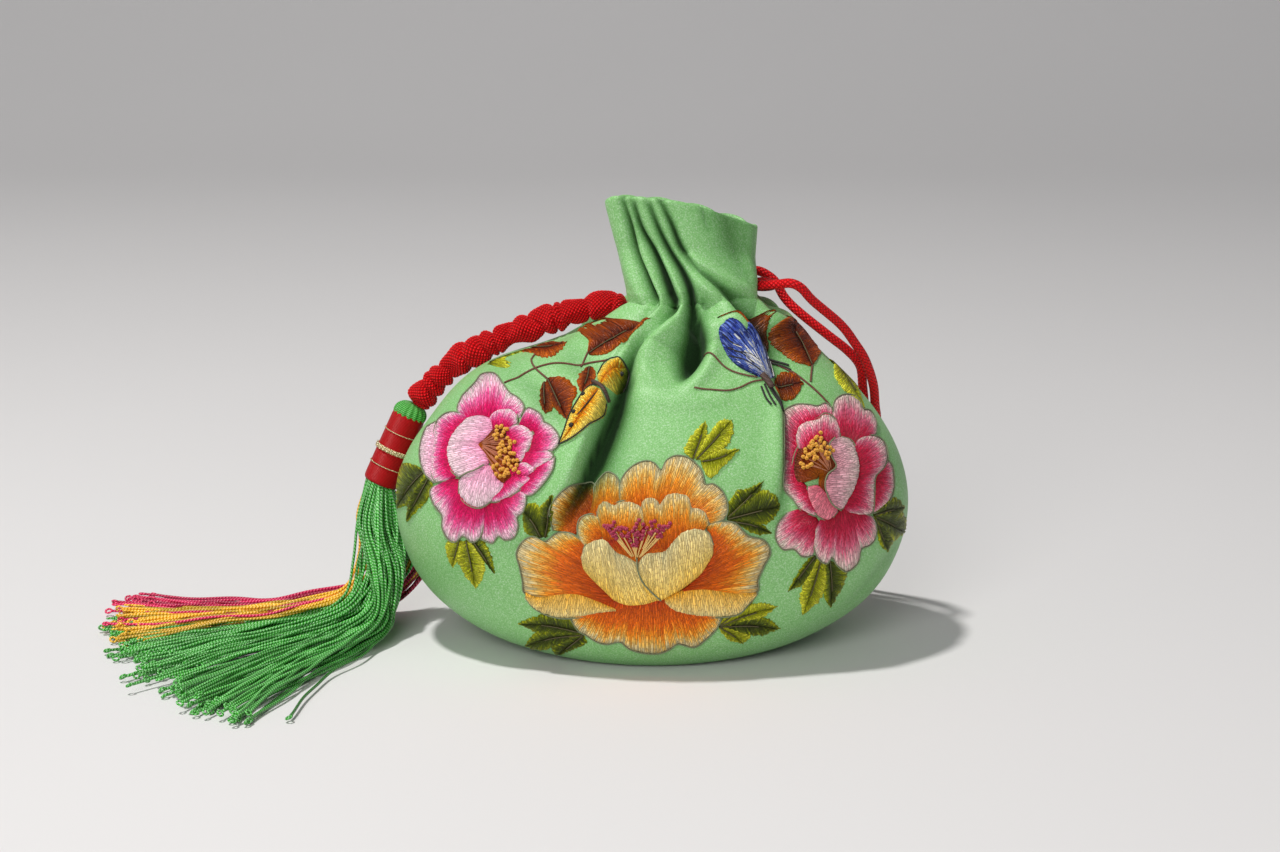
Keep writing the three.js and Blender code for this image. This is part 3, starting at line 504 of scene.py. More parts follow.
class Shell:
    """Points, faces, face corners' UV and face materials of one mesh, gathered as whole arrays."""

    def __init__(self):
        self.points, self.faces, self.uvs, self.slots, self.creases, self.count = [], [], [], [], [], 0

    def add(self, points, groups, slot=0, crease=0.0):
        """Adds points in mm and groups of (faces, uv).

        A closed body is turned so that its faces look outwards. crease is how much
        painted shade each point gets, from 0 to 1.
        """
        volume = 0.0
        for faces, _ in groups:
            middle = points[faces].mean(axis=1)
            for k in range(faces.shape[1]):
                a, b = points[faces[:, k]], points[faces[:, (k + 1) % faces.shape[1]]]
                volume += float((middle * np.cross(a, b)).sum())
        for faces, uv in groups:
            if volume < 0:
                faces, uv = faces[:, ::-1], uv[:, ::-1]
            self.faces.append(faces + self.count)
            self.uvs.append(uv)
            self.slots.append(np.full(len(faces), slot))
        self.points.append(points)
        self.creases.append(np.broadcast_to(crease, (len(points),)))
        self.count += len(points)

    def build(self, name, materials):
        """Writes the gathered arrays into a mesh object at the origin, in metres."""
        mesh = bpy.data.meshes.new(name)
        points = np.concatenate(self.points) * MM
        lengths = np.concatenate([np.full(len(f), f.shape[1]) for f in self.faces])
        corners = np.concatenate([f.ravel() for f in self.faces])
        mesh.vertices.add(len(points))
        mesh.vertices.foreach_set("co", points.astype(np.float32).ravel())
        mesh.loops.add(len(corners))
        mesh.loops.foreach_set("vertex_index", corners.astype(np.int32))
        mesh.polygons.add(len(lengths))
        starts = np.concatenate([[0], np.cumsum(lengths)[:-1]])
        mesh.polygons.foreach_set("loop_start", starts.astype(np.int32))
        mesh.polygons.foreach_set("material_index", np.concatenate(self.slots).astype(np.int32))
        mesh.polygons.foreach_set("use_smooth", np.ones(len(lengths), bool))
        layer = mesh.uv_layers.new(name="Thread")
        layer.data.foreach_set("uv", np.concatenate([u.reshape(-1) for u in self.uvs]).astype(np.float32))
        # Each point's painted shade, which the finishes use to darken their colour.
        depth = np.concatenate(self.creases).astype(np.float32)
        mesh.attributes.new("Crease", "FLOAT", "POINT").data.foreach_set("value", depth)
        mesh.update(calc_edges=True)
        mesh.validate()
        for material in materials:
            mesh.materials.append(material)
        piece = bpy.data.objects.new(name, mesh)
        bpy.context.scene.collection.objects.link(piece)
        return piece


def carried_frames(paths):
    """Directions ahead, sideways and up along each path, carried on without twist.

    Each step turns the sideways direction by as little as the path's own turn needs.
    """
    ahead = unit(np.gradient(paths, axis=1))
    start = np.where(np.abs(ahead[:, :1, 1:2]) < 0.9, [0.0, 1.0, 0.0], [1.0, 0.0, 0.0])
    sideways = [unit(start - (start * ahead[:, :1]).sum(-1, keepdims=True) * ahead[:, :1])[:, 0]]
    for k in range(1, paths.shape[1]):
        last, now = sideways[-1], ahead[:, k]
        sideways.append(unit(last - (last * now).sum(-1, keepdims=True) * now))
    sideways = np.stack(sideways, axis=1)
    return ahead, sideways, np.cross(ahead, sideways)


def add_tubes(shell, paths, radius, sides, around=1.0, slot=0, closed=False, depth=0.0):
    """Carries a circle along each path: centre plus radius times cosine sideways and sine up.

    radius is one number or an array of paths, steps and sides. The ends are flat faces unless
    closed, where the last ring meets the first. depth is each path's painted shade, more for a strand under others.
    """
    paths = np.asarray(paths, float)
    count, steps = paths.shape[:2]
    _, sideways, up = carried_frames(paths)
    angle = np.linspace(0, 2 * np.pi, sides, endpoint=False)
    ring = sideways[:, :, None] * np.cos(angle)[:, None] + up[:, :, None] * np.sin(angle)[:, None]
    points = paths[:, :, None] + ring * np.broadcast_to(radius, (count, steps, sides))[..., None]
    along = np.concatenate(
        [np.zeros((count, 1)), np.cumsum(np.linalg.norm(np.diff(paths, axis=1), axis=2), axis=1)], axis=1
    )
    along = along + 0.618 * np.arange(count)[:, None]
    quads, corners = grid_faces(steps, sides, closed=True)
    per_path = steps * sides
    shift = (np.arange(count) * per_path)[:, None, None]
    all_quads = (quads[None] + shift).reshape(-1, 4)
    rows = corners[..., 0].astype(int)
    uv = np.empty((count,) + corners.shape)
    uv[..., 0] = corners[..., 1] / sides * around
    uv[..., 1] = along[:, rows]
    groups = [(all_quads, uv.reshape(-1, 4, 2))]
    if closed:
        last = (steps - 1) * sides + np.arange(sides)
        join = np.stack(
            [
                last, (steps - 1) * sides + (np.arange(sides) + 1) % sides, (np.arange(sides) + 1) % sides,
                np.arange(sides)
            ],
            -1
        )
        join_uv = np.zeros((count, sides, 4, 2))
        join_uv[..., 0] = (np.arange(sides)[:, None] + np.array([0, 1, 1, 0])) / sides * around
        join_uv[..., 1] = along[:, -1][:, None, None]
        groups.append(((join[None] + shift).reshape(-1, 4), join_uv.reshape(-1, 4, 2)))
    else:
        first = (np.arange(sides)[::-1][None] + shift[:, 0]).reshape(-1, sides)
        last = ((steps - 1) * sides + np.arange(sides)[None] + shift[:, 0]).reshape(-1, sides)
        end_uv = np.zeros((count, sides, 2))
        end_uv[:, :, 0] = np.arange(sides) / sides * around
        groups += [(first, end_uv), (last, end_uv + along[:, -1][:, None, None] * np.array([0, 1]))]
    shell.add(points.reshape(-1, 3), groups, slot, np.repeat(np.broadcast_to(depth, (count,)), per_path))


# Painted shade: how much of a colour is left by depth in a fold, low on the base or under other strands; and by height
# on a stitch, painted shade in the dips between threads and a painted highlight on top.
PAINTED_CREASE_SHADE = [
    (0.0, (1.0, 1.0, 1.0)), (0.35, (0.64, 0.72, 0.64)), (0.75, (0.16, 0.25, 0.13)), (1.0, (0.03, 0.07, 0.025))
]
PAINTED_STITCH_SHADING = [(0.0, (0.34, 0.28, 0.26)), (0.45, (0.92, 0.9, 0.9)), (0.8, (1.0, 1.0, 1.0)), (1.0, (1.12, 1.12, 1.12))]


class Finish:
    """A material with short ways to add and join its nodes."""

    def __init__(self, name):
        self.material = bpy.data.materials.new(name)
        self.material.use_nodes = True
        self.tree = self.material.node_tree
        self.shader = self.tree.nodes["Principled BSDF"]

    def node(self, kind, inputs=None, **settings):
        """A node of this kind, with plain values or other nodes' outputs on its inputs."""
        made = self.tree.nodes.new(kind)
        for key, value in settings.items():
            setattr(made, key, value)
        for key, value in (inputs or {}).items():
            if isinstance(value, bpy.types.NodeSocket):
                self.tree.links.new(value, made.inputs[key])
            else:
                made.inputs[key].default_value = value
        return made

    def set(self, **values):
        """Plain values of the shader's own sockets."""
        for key, value in values.items():
            self.shader.inputs[key.replace("_", " ")].default_value = value
        return self

    def join(self, output, socket):
        """Links a node's output to one of the shader's sockets."""
        self.tree.links.new(output, self.shader.inputs[socket])
        return self

    def place(self):
        """The place in the object's own coordinates."""
        return self.node("ShaderNodeTexCoord").outputs["Object"]

    def thread_map(self):
        """The piece's own UV, which follows its threads."""
        return self.node("ShaderNodeUVMap", uv_map="Thread").outputs["UV"]

    def math(self, operation, a, b=0.0, c=0.0):
        """The result of one sum on up to three values."""
        return self.node("ShaderNodeMath", {0: a, 1: b, 2: c}, operation=operation).outputs[0]

    def noise(self, where, scale, detail=2.0, roughness=0.5):
        """Smooth noise from 0 to 1."""
        return self.node(
            "ShaderNodeTexNoise", {"Vector": where, "Scale": scale, "Detail": detail, "Roughness": roughness}
        ).outputs["Fac"]

    def chance(self, *values):
        """A number from 0 to 1 by chance for each set of whole values."""
        where = self.node("ShaderNodeCombineXYZ", dict(enumerate(values))).outputs[0]
        return self.node("ShaderNodeTexWhiteNoise", {"Vector": where}, noise_dimensions="3D").outputs["Value"]

    def blend(self, share, a, b, kind="MIX"):
        """Two colours joined by a share, in the way that kind names."""
        mixed = self.node("ShaderNodeMix", data_type="RGBA", blend_type=kind)
        for socket, value in ((mixed.inputs[0], share), (mixed.inputs[6], a), (mixed.inputs[7], b)):
            if isinstance(value, bpy.types.NodeSocket):
                self.tree.links.new(value, socket)
            else:
                socket.default_value = value
        return mixed.outputs[2]

    def ramp(self, value, stops):
        """The colour that lies at a value between these stops."""
        made = self.node("ShaderNodeValToRGB", {"Fac": value})
        bar = made.color_ramp
        while len(bar.elements) < len(stops):
            bar.elements.new(0.5)
        for element, (at, colour) in zip(bar.elements, stops):
            element.position = at
            element.color = (*colour, 1.0)
        return made.outputs["Color"]

    def depth(self):
        """How much painted shade the surface gets, from 0 to 1, by its depth in a fold, its nearness to the floor or
        its depth in a bundle.
        """
        return self.node("ShaderNodeAttribute", attribute_name="Crease", attribute_type="GEOMETRY").outputs["Fac"]

    def with_painted_shade(self, colour):
        """The colour with painted shade: darker the more shade the piece's attribute gives."""
        return self.blend(1.0, colour, self.ramp(self.depth(), PAINTED_CREASE_SHADE), "MULTIPLY")

    def bump(self, height, strength, distance, under=None):
        """A normal tilted by a height, over another normal where one is given."""
        inputs = {"Height": height, "Strength": strength, "Distance": distance}
        if under is not None:
            inputs["Normal"] = under
        return self.node("ShaderNodeBump", inputs).outputs["Normal"]


def wide_colour(colour, level):
    """The colour times a level, which may take it past 1."""
    return (colour[0] * level, colour[1] * level, colour[2] * level)


def satin_finish(name, colour, grain_and_glint=1.0):
    """Silk satin: fine weave speckle with painted glints, slow colour drift, and painted shade in folds."""
    made = Finish(name)
    where = made.place()
    fine = made.noise(where, 2300.0, 2.0, 0.7)
    slow = made.noise(where, 45.0, 3.0)
    crumple = made.noise(where, 90.0, 4.0, 0.6)
    # Painted glints: specks of the fine noise lighter and darker than the colour.
    painted_highlight = tuple(mix(c, 0.85, 0.3 * grain_and_glint) for c in colour)
    glint = made.ramp(fine, [(0.33, wide_colour(colour, 0.78)), (0.5, colour), (0.67, painted_highlight)])
    drift = made.ramp(slow, [(0.3, (0.9, 0.94, 0.9)), (0.7, (1.04, 1.02, 1.04))])
    made.join(made.with_painted_shade(made.blend(0.8, glint, drift, "MULTIPLY")), "Base Color")
    gloss = made.node("ShaderNodeMapRange", {"Value": fine, "To Min": 0.52, "To Max": 0.4}).outputs[0]
    made.join(made.math("MULTIPLY_ADD", made.depth(), 0.5, gloss), "Roughness")
    weave = made.node(
        "ShaderNodeTexWave", {"Vector": where, "Scale": 900.0, "Distortion": 3.0, "Detail": 1.0},
        bands_direction="DIAGONAL"
    ).outputs["Fac"]
    soft = made.bump(crumple, 0.2 * grain_and_glint, 0.0022)
    made.join(made.bump(fine, 0.26 * grain_and_glint, 0.0003, made.bump(weave, 0.08, 0.0002, soft)), "Normal")
    made.set(Sheen_Weight=0.06, Sheen_Roughness=0.4, Sheen_Tint=(0.75, 0.95, 0.7, 1.0), Specular_IOR_Level=0.4)
    return made.material


def padding_finish(name, colour):
    """Matted fibre wadding: soft clumps of noise at two sizes."""
    made = Finish(name)
    where = made.place()
    clumps = made.noise(where, 260.0, 5.0, 0.7)
    made.join(made.ramp(clumps, [(0.3, wide_colour(colour, 0.8)), (0.7, colour)]), "Base Color")
    made.join(made.bump(clumps, 0.8, 0.001), "Normal")
    made.set(Roughness=0.95, Specular_IOR_Level=0.2)
    return made.material


def thread_finish(name, stops, thread=0.42, uneven=0.2, gloss=0.46, rows=9.0):
    """Short silk stitches: the UV runs across them in mm and along them from 0 to 1.

    Threads lie side by side and each is cut into stitches at its own places. Each stitch shifts
    the colour's place along the petal by its own amount, which makes the jagged edge between two
    shades, and has its own tone. Its round is a bump that falls off at both ends.
    """
    made = Finish(name)
    parts = made.node("ShaderNodeSeparateXYZ", {0: made.thread_map()})
    across, along = parts.outputs[0], parts.outputs[1]
    wander = made.noise(
        made.node("ShaderNodeCombineXYZ", {0: across, 1: made.math("MULTIPLY", along, 4.0)}).outputs[0], 0.9, 2.0, 0.5
    )
    number = made.math("MULTIPLY_ADD", wander, 2.4, made.math("DIVIDE", across, thread))
    stitch = made.math("FLOOR", number)
    offset = made.chance(stitch)
    place = made.math("MULTIPLY_ADD", along, rows, made.math("MULTIPLY", offset, 7.0))
    row = made.math("FLOOR", place)
    cell = made.chance(stitch, row)
    other = made.chance(row, stitch)
    shift = made.math("MULTIPLY_ADD", made.math("SUBTRACT", cell, 0.5), uneven * 0.6, along)
    shift = made.math("MULTIPLY_ADD", made.math("SUBTRACT", offset, 0.5), uneven * 0.6, shift)
    shade = made.ramp(shift, stops)
    tone = made.math("MULTIPLY_ADD", other, 0.46, 0.76)
    tone_colour = made.node("ShaderNodeCombineColor", {0: tone, 1: tone, 2: tone}).outputs[0]
    arch = made.math("SINE", made.math("MULTIPLY", made.math("SUBTRACT", number, stitch), np.pi))
    run = made.math("SINE", made.math("MULTIPLY", made.math("SUBTRACT", place, row), np.pi))
    ends = made.math("POWER", run, 0.35)
    height = made.math("MULTIPLY", made.math("POWER", arch, 0.7), ends)
    toned = made.blend(1.0, shade, tone_colour, "MULTIPLY")
    # Painted shade in the dips between threads and a painted highlight on each stitch's top, then painted shade in the
    # cloth's folds.
    stitches = made.blend(1.0, toned, made.ramp(height, PAINTED_STITCH_SHADING), "MULTIPLY")
    made.join(made.with_painted_shade(stitches), "Base Color")
    made.join(made.bump(height, 0.9, 0.0003), "Normal")
    made.join(
        made.node("ShaderNodeMapRange", {"Value": other, "To Min": gloss + 0.08, "To Max": gloss - 0.08}).outputs[0],
        "Roughness"
    )
    made.set(Specular_IOR_Level=0.25)
    return made.material


def braid_finish(name, colour, pitch, around, relief=0.8, gloss=0.5):
    """Braided cord: two families of slanting strands cross, each a row of small round humps.

    The UV runs round the cord and along it in mm.
    """
    made = Finish(name)
    parts = made.node("ShaderNodeSeparateXYZ", {0: made.thread_map()})
    turn = made.math("MULTIPLY", parts.outputs[0], around * np.pi)
    run = made.math("MULTIPLY", parts.outputs[1], np.pi / pitch)
    one = made.math("SINE", made.math("ADD", turn, run))
    two = made.math("SINE", made.math("SUBTRACT", turn, run))
    humps = made.math("ABSOLUTE", made.math("MULTIPLY", one, two))
    humps = made.math("POWER", humps, 0.6)
    hair = made.noise(made.place(), 1500.0, 3.0, 0.7)
    height = made.math("MULTIPLY_ADD", hair, 0.5, humps)
    # Painted shade between the humps and a painted highlight on them.
    made.join(
        made.ramp(height, [(0.15, wide_colour(colour, 0.32)), (0.6, colour), (1.0, wide_colour(colour, 1.25))]),
        "Base Color"
    )
    made.join(made.bump(height, relief, 0.0006), "Normal")
    made.set(
        Roughness=gloss, Sheen_Weight=0.05, Sheen_Roughness=0.5, Sheen_Tint=(1.0, 0.5, 0.45, 1.0),
        Specular_IOR_Level=0.24
    )
    return made.material


def wound_finish(name, colour, thread, along_cord=True, gloss=0.38, relief=0.6, glint=0.35, dark=0.3, shine=0.3):
    """Thread wound or twisted into lines: the UV's second part runs across the threads in mm."""
    made = Finish(name)
    parts = made.node("ShaderNodeSeparateXYZ", {0: made.thread_map()})
    slant = made.math("MULTIPLY_ADD", parts.outputs[0], thread if along_cord else 0.0, parts.outputs[1])
    number = made.math("DIVIDE", slant, thread)
    arch = made.math("ABSOLUTE", made.math("SINE", made.math("MULTIPLY", number, np.pi)))
    hair = made.noise(
        made.node("ShaderNodeCombineXYZ", {0: made.math("FLOOR", number), 1: parts.outputs[0]}).outputs[0], 3.1, 3.0,
        0.6
    )
    height = made.math("MULTIPLY_ADD", hair, 0.3, arch)
    # Painted shade in the gaps between threads, set by dark, a painted highlight on their crowns, set by glint, then
    # painted shade from the shade attribute.
    painted_highlight = tuple(mix(c, 0.8, glint * 0.5) for c in colour)
    wound = made.ramp(height, [(0.1, wide_colour(colour, dark)), (0.7, colour), (1.0, painted_highlight)])
    made.join(made.with_painted_shade(wound), "Base Color")
    made.join(made.bump(height, relief, 0.0003), "Normal")
    made.set(Roughness=gloss, Specular_IOR_Level=shine)
    return made.material


def metal_thread_finish(name, colour):
    """Gold thread: foil wound on silk, as short facets with a painted highlight and gaps with painted shade."""
    made = Finish(name)
    parts = made.node("ShaderNodeSeparateXYZ", {0: made.thread_map()})
    slant = made.math("MULTIPLY_ADD", parts.outputs[0], 1.0, made.math("MULTIPLY", parts.outputs[1], 2.2))
    facet = made.math("ABSOLUTE", made.math("SINE", made.math("MULTIPLY", slant, np.pi)))
    # Painted highlight on each facet and painted shade in the gaps.
    made.join(
        made.ramp(facet, [(0.1, wide_colour(colour, 0.35)), (0.6, colour), (1.0, (0.95, 0.86, 0.62))]), "Base Color"
    )
    made.join(made.bump(facet, 0.6, 0.0003), "Normal")
    made.set(Metallic=0.55, Roughness=0.32)
    return made.material


def tint(red, green, blue):
    """A display colour from 0 to 255 as the shader's own light values."""
    share = np.array([red, green, blue]) / 255
    return tuple(float(c) for c in np.where(share > 0.04045, ((share + 0.055) / 1.055) ** 2.4, share / 12.92))


def add_wall(shell, outer, inner, across, along, slot=0, crease=None):
    """A closed wall between two grids of points with the same rows and columns.

    Each row runs up the outer grid, over the last column and back down the inner one. across has
    a UV value for each row and along one for each column, and crease the painted shade of each grid point.
    """
    rows, columns = outer.shape[:2]
    loop = np.concatenate([outer, inner[:, ::-1]], axis=1)
    quads, corners = grid_faces(rows, 2 * columns, closed=True)
    row, column = corners[..., 0].astype(int), corners[..., 1].astype(int) % (2 * columns)
    column = np.where(column < columns, column, 2 * columns - 1 - column)
    uv = np.stack([across[row], along[column]], axis=-1)
    k = np.arange(columns - 1)
    strip = np.stack([k, 2 * columns - 1 - k, 2 * columns - 2 - k, k + 1], axis=-1)
    last = (rows - 1) * 2 * columns + strip[:, ::-1]
    strip_uv = np.stack([np.full(strip.shape, across[0]), along[np.stack([k, k, k + 1, k + 1], -1)]], -1)
    last_uv = np.stack([np.full(strip.shape, across[-1]), along[np.stack([k + 1, k + 1, k, k], -1)]], -1)
    depth = 0.0 if crease is None else np.concatenate([crease, crease[:, ::-1]], axis=1).ravel()
    shell.add(loop.reshape(-1, 3), [(quads, uv), (strip, strip_uv), (last, last_uv)], slot, depth)


def cloth_levels(top, fine):
    """Levels from the middle of the base up to top, closest together at the neck."""
    parts = [np.linspace(-1, 0, 7), np.linspace(0, 1, int(34 * fine)), np.linspace(1, 2, int(80 * fine))]
    parts.append(np.linspace(2, 3, int(16 * fine)))
    if top > 3:
        parts.append(np.linspace(3, 4, int(40 * fine)))
    levels = np.unique(np.concatenate(parts))
    return levels[levels <= top]


def cloth_layer(name, side, top, fine, outer_depth, inner_depth, material):
    """One layer of the cloth wall as a closed shell, from the base's middle seam up to a level."""
    levels = cloth_levels(top, fine)
    turns = np.linspace(-np.pi / 2, np.pi / 2, int(250 * fine))
    turn, level = np.meshgrid(turns, levels, indexing="ij")
    plain = plain_point(turn, level, side)
    normal = plain_normal(turn, level, side)
    lift, folds = cloth_lift(turn, level, side, plain)
    corner = 1.6 * np.exp(-(((np.sin(turn) + 1) / 0.1) ** 2))
    plain[..., 2] += (0.55 * np.clip(folds, -3, 1) - corner) * smoothstep(3.3, 4, level)
    outer = plain + normal * (lift - outer_depth(level))[..., None]
    inner = plain + normal * (lift - inner_depth(level))[..., None]
    # Painted shade: more in deeper folds, and more low on the base, near the floor.
    crease = -folds / (FULL_SHADE_FOLD * (1 - 0.4 * smoothstep(2.2, 3, level)))
    crease = np.clip(crease + 0.36 * (1 - smoothstep(0.04, 0.36, level)), 0, 1)
    if top >= CLOTH_RIM:
        roll = np.radians([40.0, 80.0])
        foot, back = outer[:, -1:], inner[:, -1:]
        thick = np.linalg.norm(foot - back, axis=-1, keepdims=True)
        share = ((1 - np.cos(roll)) / 2)[None, :, None]
        high = np.array([0.0, 0.0, 0.5]) * thick * np.sin(roll)[None, :, None]
        outer = np.concatenate([outer, mix(foot, back, share) + high], axis=1)
        inner = np.concatenate([inner, mix(back, foot, share) + high], axis=1)
        levels = np.concatenate([levels, [levels[-1]] * 2])
        crease = np.concatenate([crease, crease[:, -1:], crease[:, -1:]], axis=1)
    shell = Shell()
    add_wall(shell, outer, inner, turns * CLOTH_UV, levels * CLOTH_UV, crease=crease)
    return shell.build(name, [material])


# Layers of the cloth wall in mm, the wadding's top level, and the lining's flat size in metres.
SATIN_THICK, FRILL_THICK = 0.8, 1.6
WADDING_OUTER, WADDING_INNER = 1.5, 2.8
WADDING_TOP = 1.93
LINING_DEPTH, LINING_CHANNEL_DEPTH = 3.0, 4.9
LINING_THICK = 0.5


def even_depth(depth):
    """Depth of a face that lies equally deep everywhere."""
    return lambda level: depth + 0 * level


def satin_back_face(level):
    """Depth of the satin's inner face: one layer in the body, two turned over in the frill."""
    return mix(SATIN_THICK, FRILL_THICK, smoothstep(2.8, 3.15, level))


def lining_depth(extra):
    """Depth of a face of the lining, which leaves room for the drawcords in the channel."""
    return lambda level: mix(LINING_DEPTH, LINING_CHANNEL_DEPTH, smoothstep(1.7, 2.05, level)) + extra


PETAL_FINISHES = {
    "orange": [
        (0.0, (196, 70, 0)), (0.36, (240, 118, 4)), (0.6, (250, 158, 40)), (0.78, (240, 194, 100)),
        (0.9, (222, 200, 144)), (1.0, (204, 192, 144))
    ],
    "orange_deep": [
        (0.0, (190, 60, 0)), (0.5, (242, 110, 2)), (0.7, (250, 156, 36)), (0.84, (240, 194, 98)),
        (0.93, (222, 200, 144)), (1.0, (204, 192, 144))
    ],
    "orange_pale": [(0.0, (255, 204, 78)), (0.35, (255, 222, 124)), (0.75, (250, 226, 152)), (1.0, (222, 212, 158))],
    "orange_lip": [(0.0, (252, 184, 54)), (0.5, (252, 208, 108)), (1.0, (230, 214, 150))],
    "pink_deep": [
        (0.0, (200, 0, 66)), (0.42, (232, 14, 104)), (0.66, (244, 100, 164)), (0.84, (248, 190, 212)),
        (1.0, (224, 208, 206))
    ],
    "pink_pale": [(0.0, (248, 156, 196)), (0.5, (252, 198, 220)), (1.0, (240, 216, 220))],
    "rose_deep": [
        (0.0, (180, 0, 38)), (0.42, (216, 22, 72)), (0.66, (236, 106, 140)), (0.85, (240, 186, 190)),
        (1.0, (220, 204, 190))
    ],
    "rose_pale": [(0.0, (236, 156, 172)), (0.5, (246, 188, 198)), (1.0, (228, 210, 200))],
    "rose_flat": [(0.0, (232, 96, 122)), (1.0, (238, 140, 154))],
    "heart_orange": [(0.0, (236, 140, 20)), (0.5, (206, 66, 16)), (1.0, (150, 10, 60))],
    "heart_gold": [(0.0, (206, 108, 8)), (0.5, (150, 62, 4)), (1.0, (96, 32, 8))],
    "leaf_dark": [(0.0, (48, 56, 0)), (0.45, (76, 90, 0)), (0.78, (118, 130, 2)), (1.0, (170, 174, 16))],
    "leaf_light": [(0.0, (116, 124, 4)), (0.5, (168, 174, 12)), (1.0, (222, 222, 60))],
    "leaf_brown": [(0.0, (84, 24, 0)), (0.5, (140, 54, 0)), (1.0, (192, 92, 4))],
    "wing_yellow": [(0.0, (226, 128, 8)), (0.3, (246, 182, 32)), (0.65, (252, 220, 92)), (1.0, (236, 212, 96))],
    "wing_blue": [
        (0.0, (226, 230, 232)), (0.1, (184, 196, 216)), (0.24, (104, 130, 204)), (0.62, (58, 86, 190)),
        (0.72, (120, 142, 206)), (0.84, (52, 72, 168)), (1.0, (34, 48, 120))
    ],
}

# Laid threads: colour, width in mm, glint and gloss.
THREADS = {
    "vein_thread": ((96, 88, 50), 0.4, 0.1, 0.6),
    "twig_thread": ((112, 52, 18), 0.5, 0.2, 0.55),
    "dark_thread": ((30, 26, 20), 0.4, 0.12, 0.55),
    "feeler_thread": ((112, 56, 26), 0.5, 0.2, 0.55),
    "body_thread": ((74, 40, 20), 0.5, 0.2, 0.55),
    "white_thread": ((226, 226, 222), 0.4, 0.1, 0.5),
}

# How many stitches follow each other from a petal's root to its edge.
PETAL_ROWS = {"orange_lip": 3.0, "rose_flat": 4.0, "orange_pale": 8.0, "pink_pale": 5.0, "rose_pale": 5.0}

# Embroidered forms of the front, in picture points. Each petal has its finish, its height in mm,
# the line where its stitches end and the line where they start. The first lie under the later ones.
ORANGE_PEONY = [
    (
        "orange_deep", 0.35, [(552, 531), (550, 518), (552, 506), (561, 494), (574, 484), (588, 480), (596, 486)],
        [(575, 536), (582, 526), (592, 514), (600, 506)]
    ),
    (
        "orange", 0.45, [(593, 498), (593, 484), (604, 471), (613, 473), (619, 481), (620, 495)],
        [(586, 522), (604, 524), (620, 516)]
    ),
    (
        "orange", 0.6,
        [
            (619, 498), (620, 483), (625, 473), (634, 465), (645, 461), (654, 463), (661, 470), (666, 461), (675, 456),
            (686, 457), (695, 463), (702, 472), (705, 484), (713, 484), (722, 491), (727, 502), (727, 513), (722, 520),
            (711, 524)
        ],
        [(626, 514), (640, 518), (655, 520), (670, 520), (684, 522), (696, 527)]
    ),
    (
        "orange_deep", 0.7,
        [
            (582, 541), (572, 534), (557, 533), (545, 541), (534, 536), (523, 541), (517, 553), (520, 566), (523, 580),
            (525, 592), (540, 596)
        ],
        [(590, 548), (592, 558), (596, 570), (602, 582), (610, 592), (616, 600), (616, 606)]
    ),
    (
        "orange_deep", 0.7,
        [
            (708, 524), (720, 521), (735, 523), (748, 535), (764, 540), (770, 552), (764, 565), (758, 579), (757, 591),
            (740, 596)
        ],
        [(706, 534), (707, 550), (703, 564), (696, 577), (684, 588), (668, 597), (664, 602)]
    ),
    (
        "orange_deep", 0.75,
        [
            (571, 618), (578, 629), (586, 634), (598, 641), (608, 643), (620, 641), (630, 648), (645, 652), (660, 652),
            (670, 648), (678, 643), (694, 646), (706, 638), (716, 628), (721, 618)
        ],
        [(590, 600), (612, 598), (636, 597), (656, 596), (676, 598), (704, 602)]
    ),
    ("orange", 0.8, [(582, 546), (577, 531), (579, 519), (590, 514), (600, 517)], [(600, 546), (604, 540), (608, 534)]),
    (
        "orange", 0.95,
        [(598, 522), (597, 506), (604, 499), (613, 503), (621, 501), (631, 500), (640, 504), (645, 515), (646, 530)],
        [(604, 544), (616, 546), (630, 548), (641, 546)]
    ),
    (
        "orange", 1.05,
        [
            (640, 508), (643, 498), (650, 495), (657, 498), (660, 502), (666, 493), (677, 491), (688, 495), (692, 506),
            (699, 507), (706, 513), (709, 524)
        ],
        [(647, 545), (658, 550), (672, 550), (684, 546), (694, 540), (702, 533)]
    ),
    (
        "heart_orange", 0.9,
        [(600, 546), (606, 527), (616, 521), (628, 524), (640, 519), (652, 521), (666, 522), (676, 528), (680, 540)],
        [(616, 556), (626, 562), (636, 570), (646, 562), (660, 556)]
    ),
    (
        "orange_pale", 1.35, [(581, 556), (586, 544), (595, 538), (606, 538), (616, 549), (626, 553), (637, 560)],
        [(583, 567), (592, 578), (604, 590), (615, 600), (628, 605), (645, 604), (660, 599)]
    ),
    (
        "orange_pale", 1.5,
        [(637, 562), (646, 551), (664, 549), (672, 539), (682, 529), (696, 526), (708, 532), (713, 544)],
        [(641, 587), (650, 596), (659, 600), (672, 594), (685, 586), (700, 574), (708, 562), (713, 552)]
    ),
    (
        "orange_lip", 1.2, [(526, 596), (534, 606), (546, 613), (562, 617), (580, 616), (600, 612), (618, 609)],
        [(526, 591), (540, 595), (560, 591), (579, 591), (600, 600), (617, 607)]
    ),
    (
        "orange_lip", 1.2, [(664, 601), (677, 611), (704, 616), (735, 614), (748, 603), (757, 592)],
        [(664, 598), (684, 589), (700, 586), (714, 587), (735, 591), (755, 591)]
    ),
]
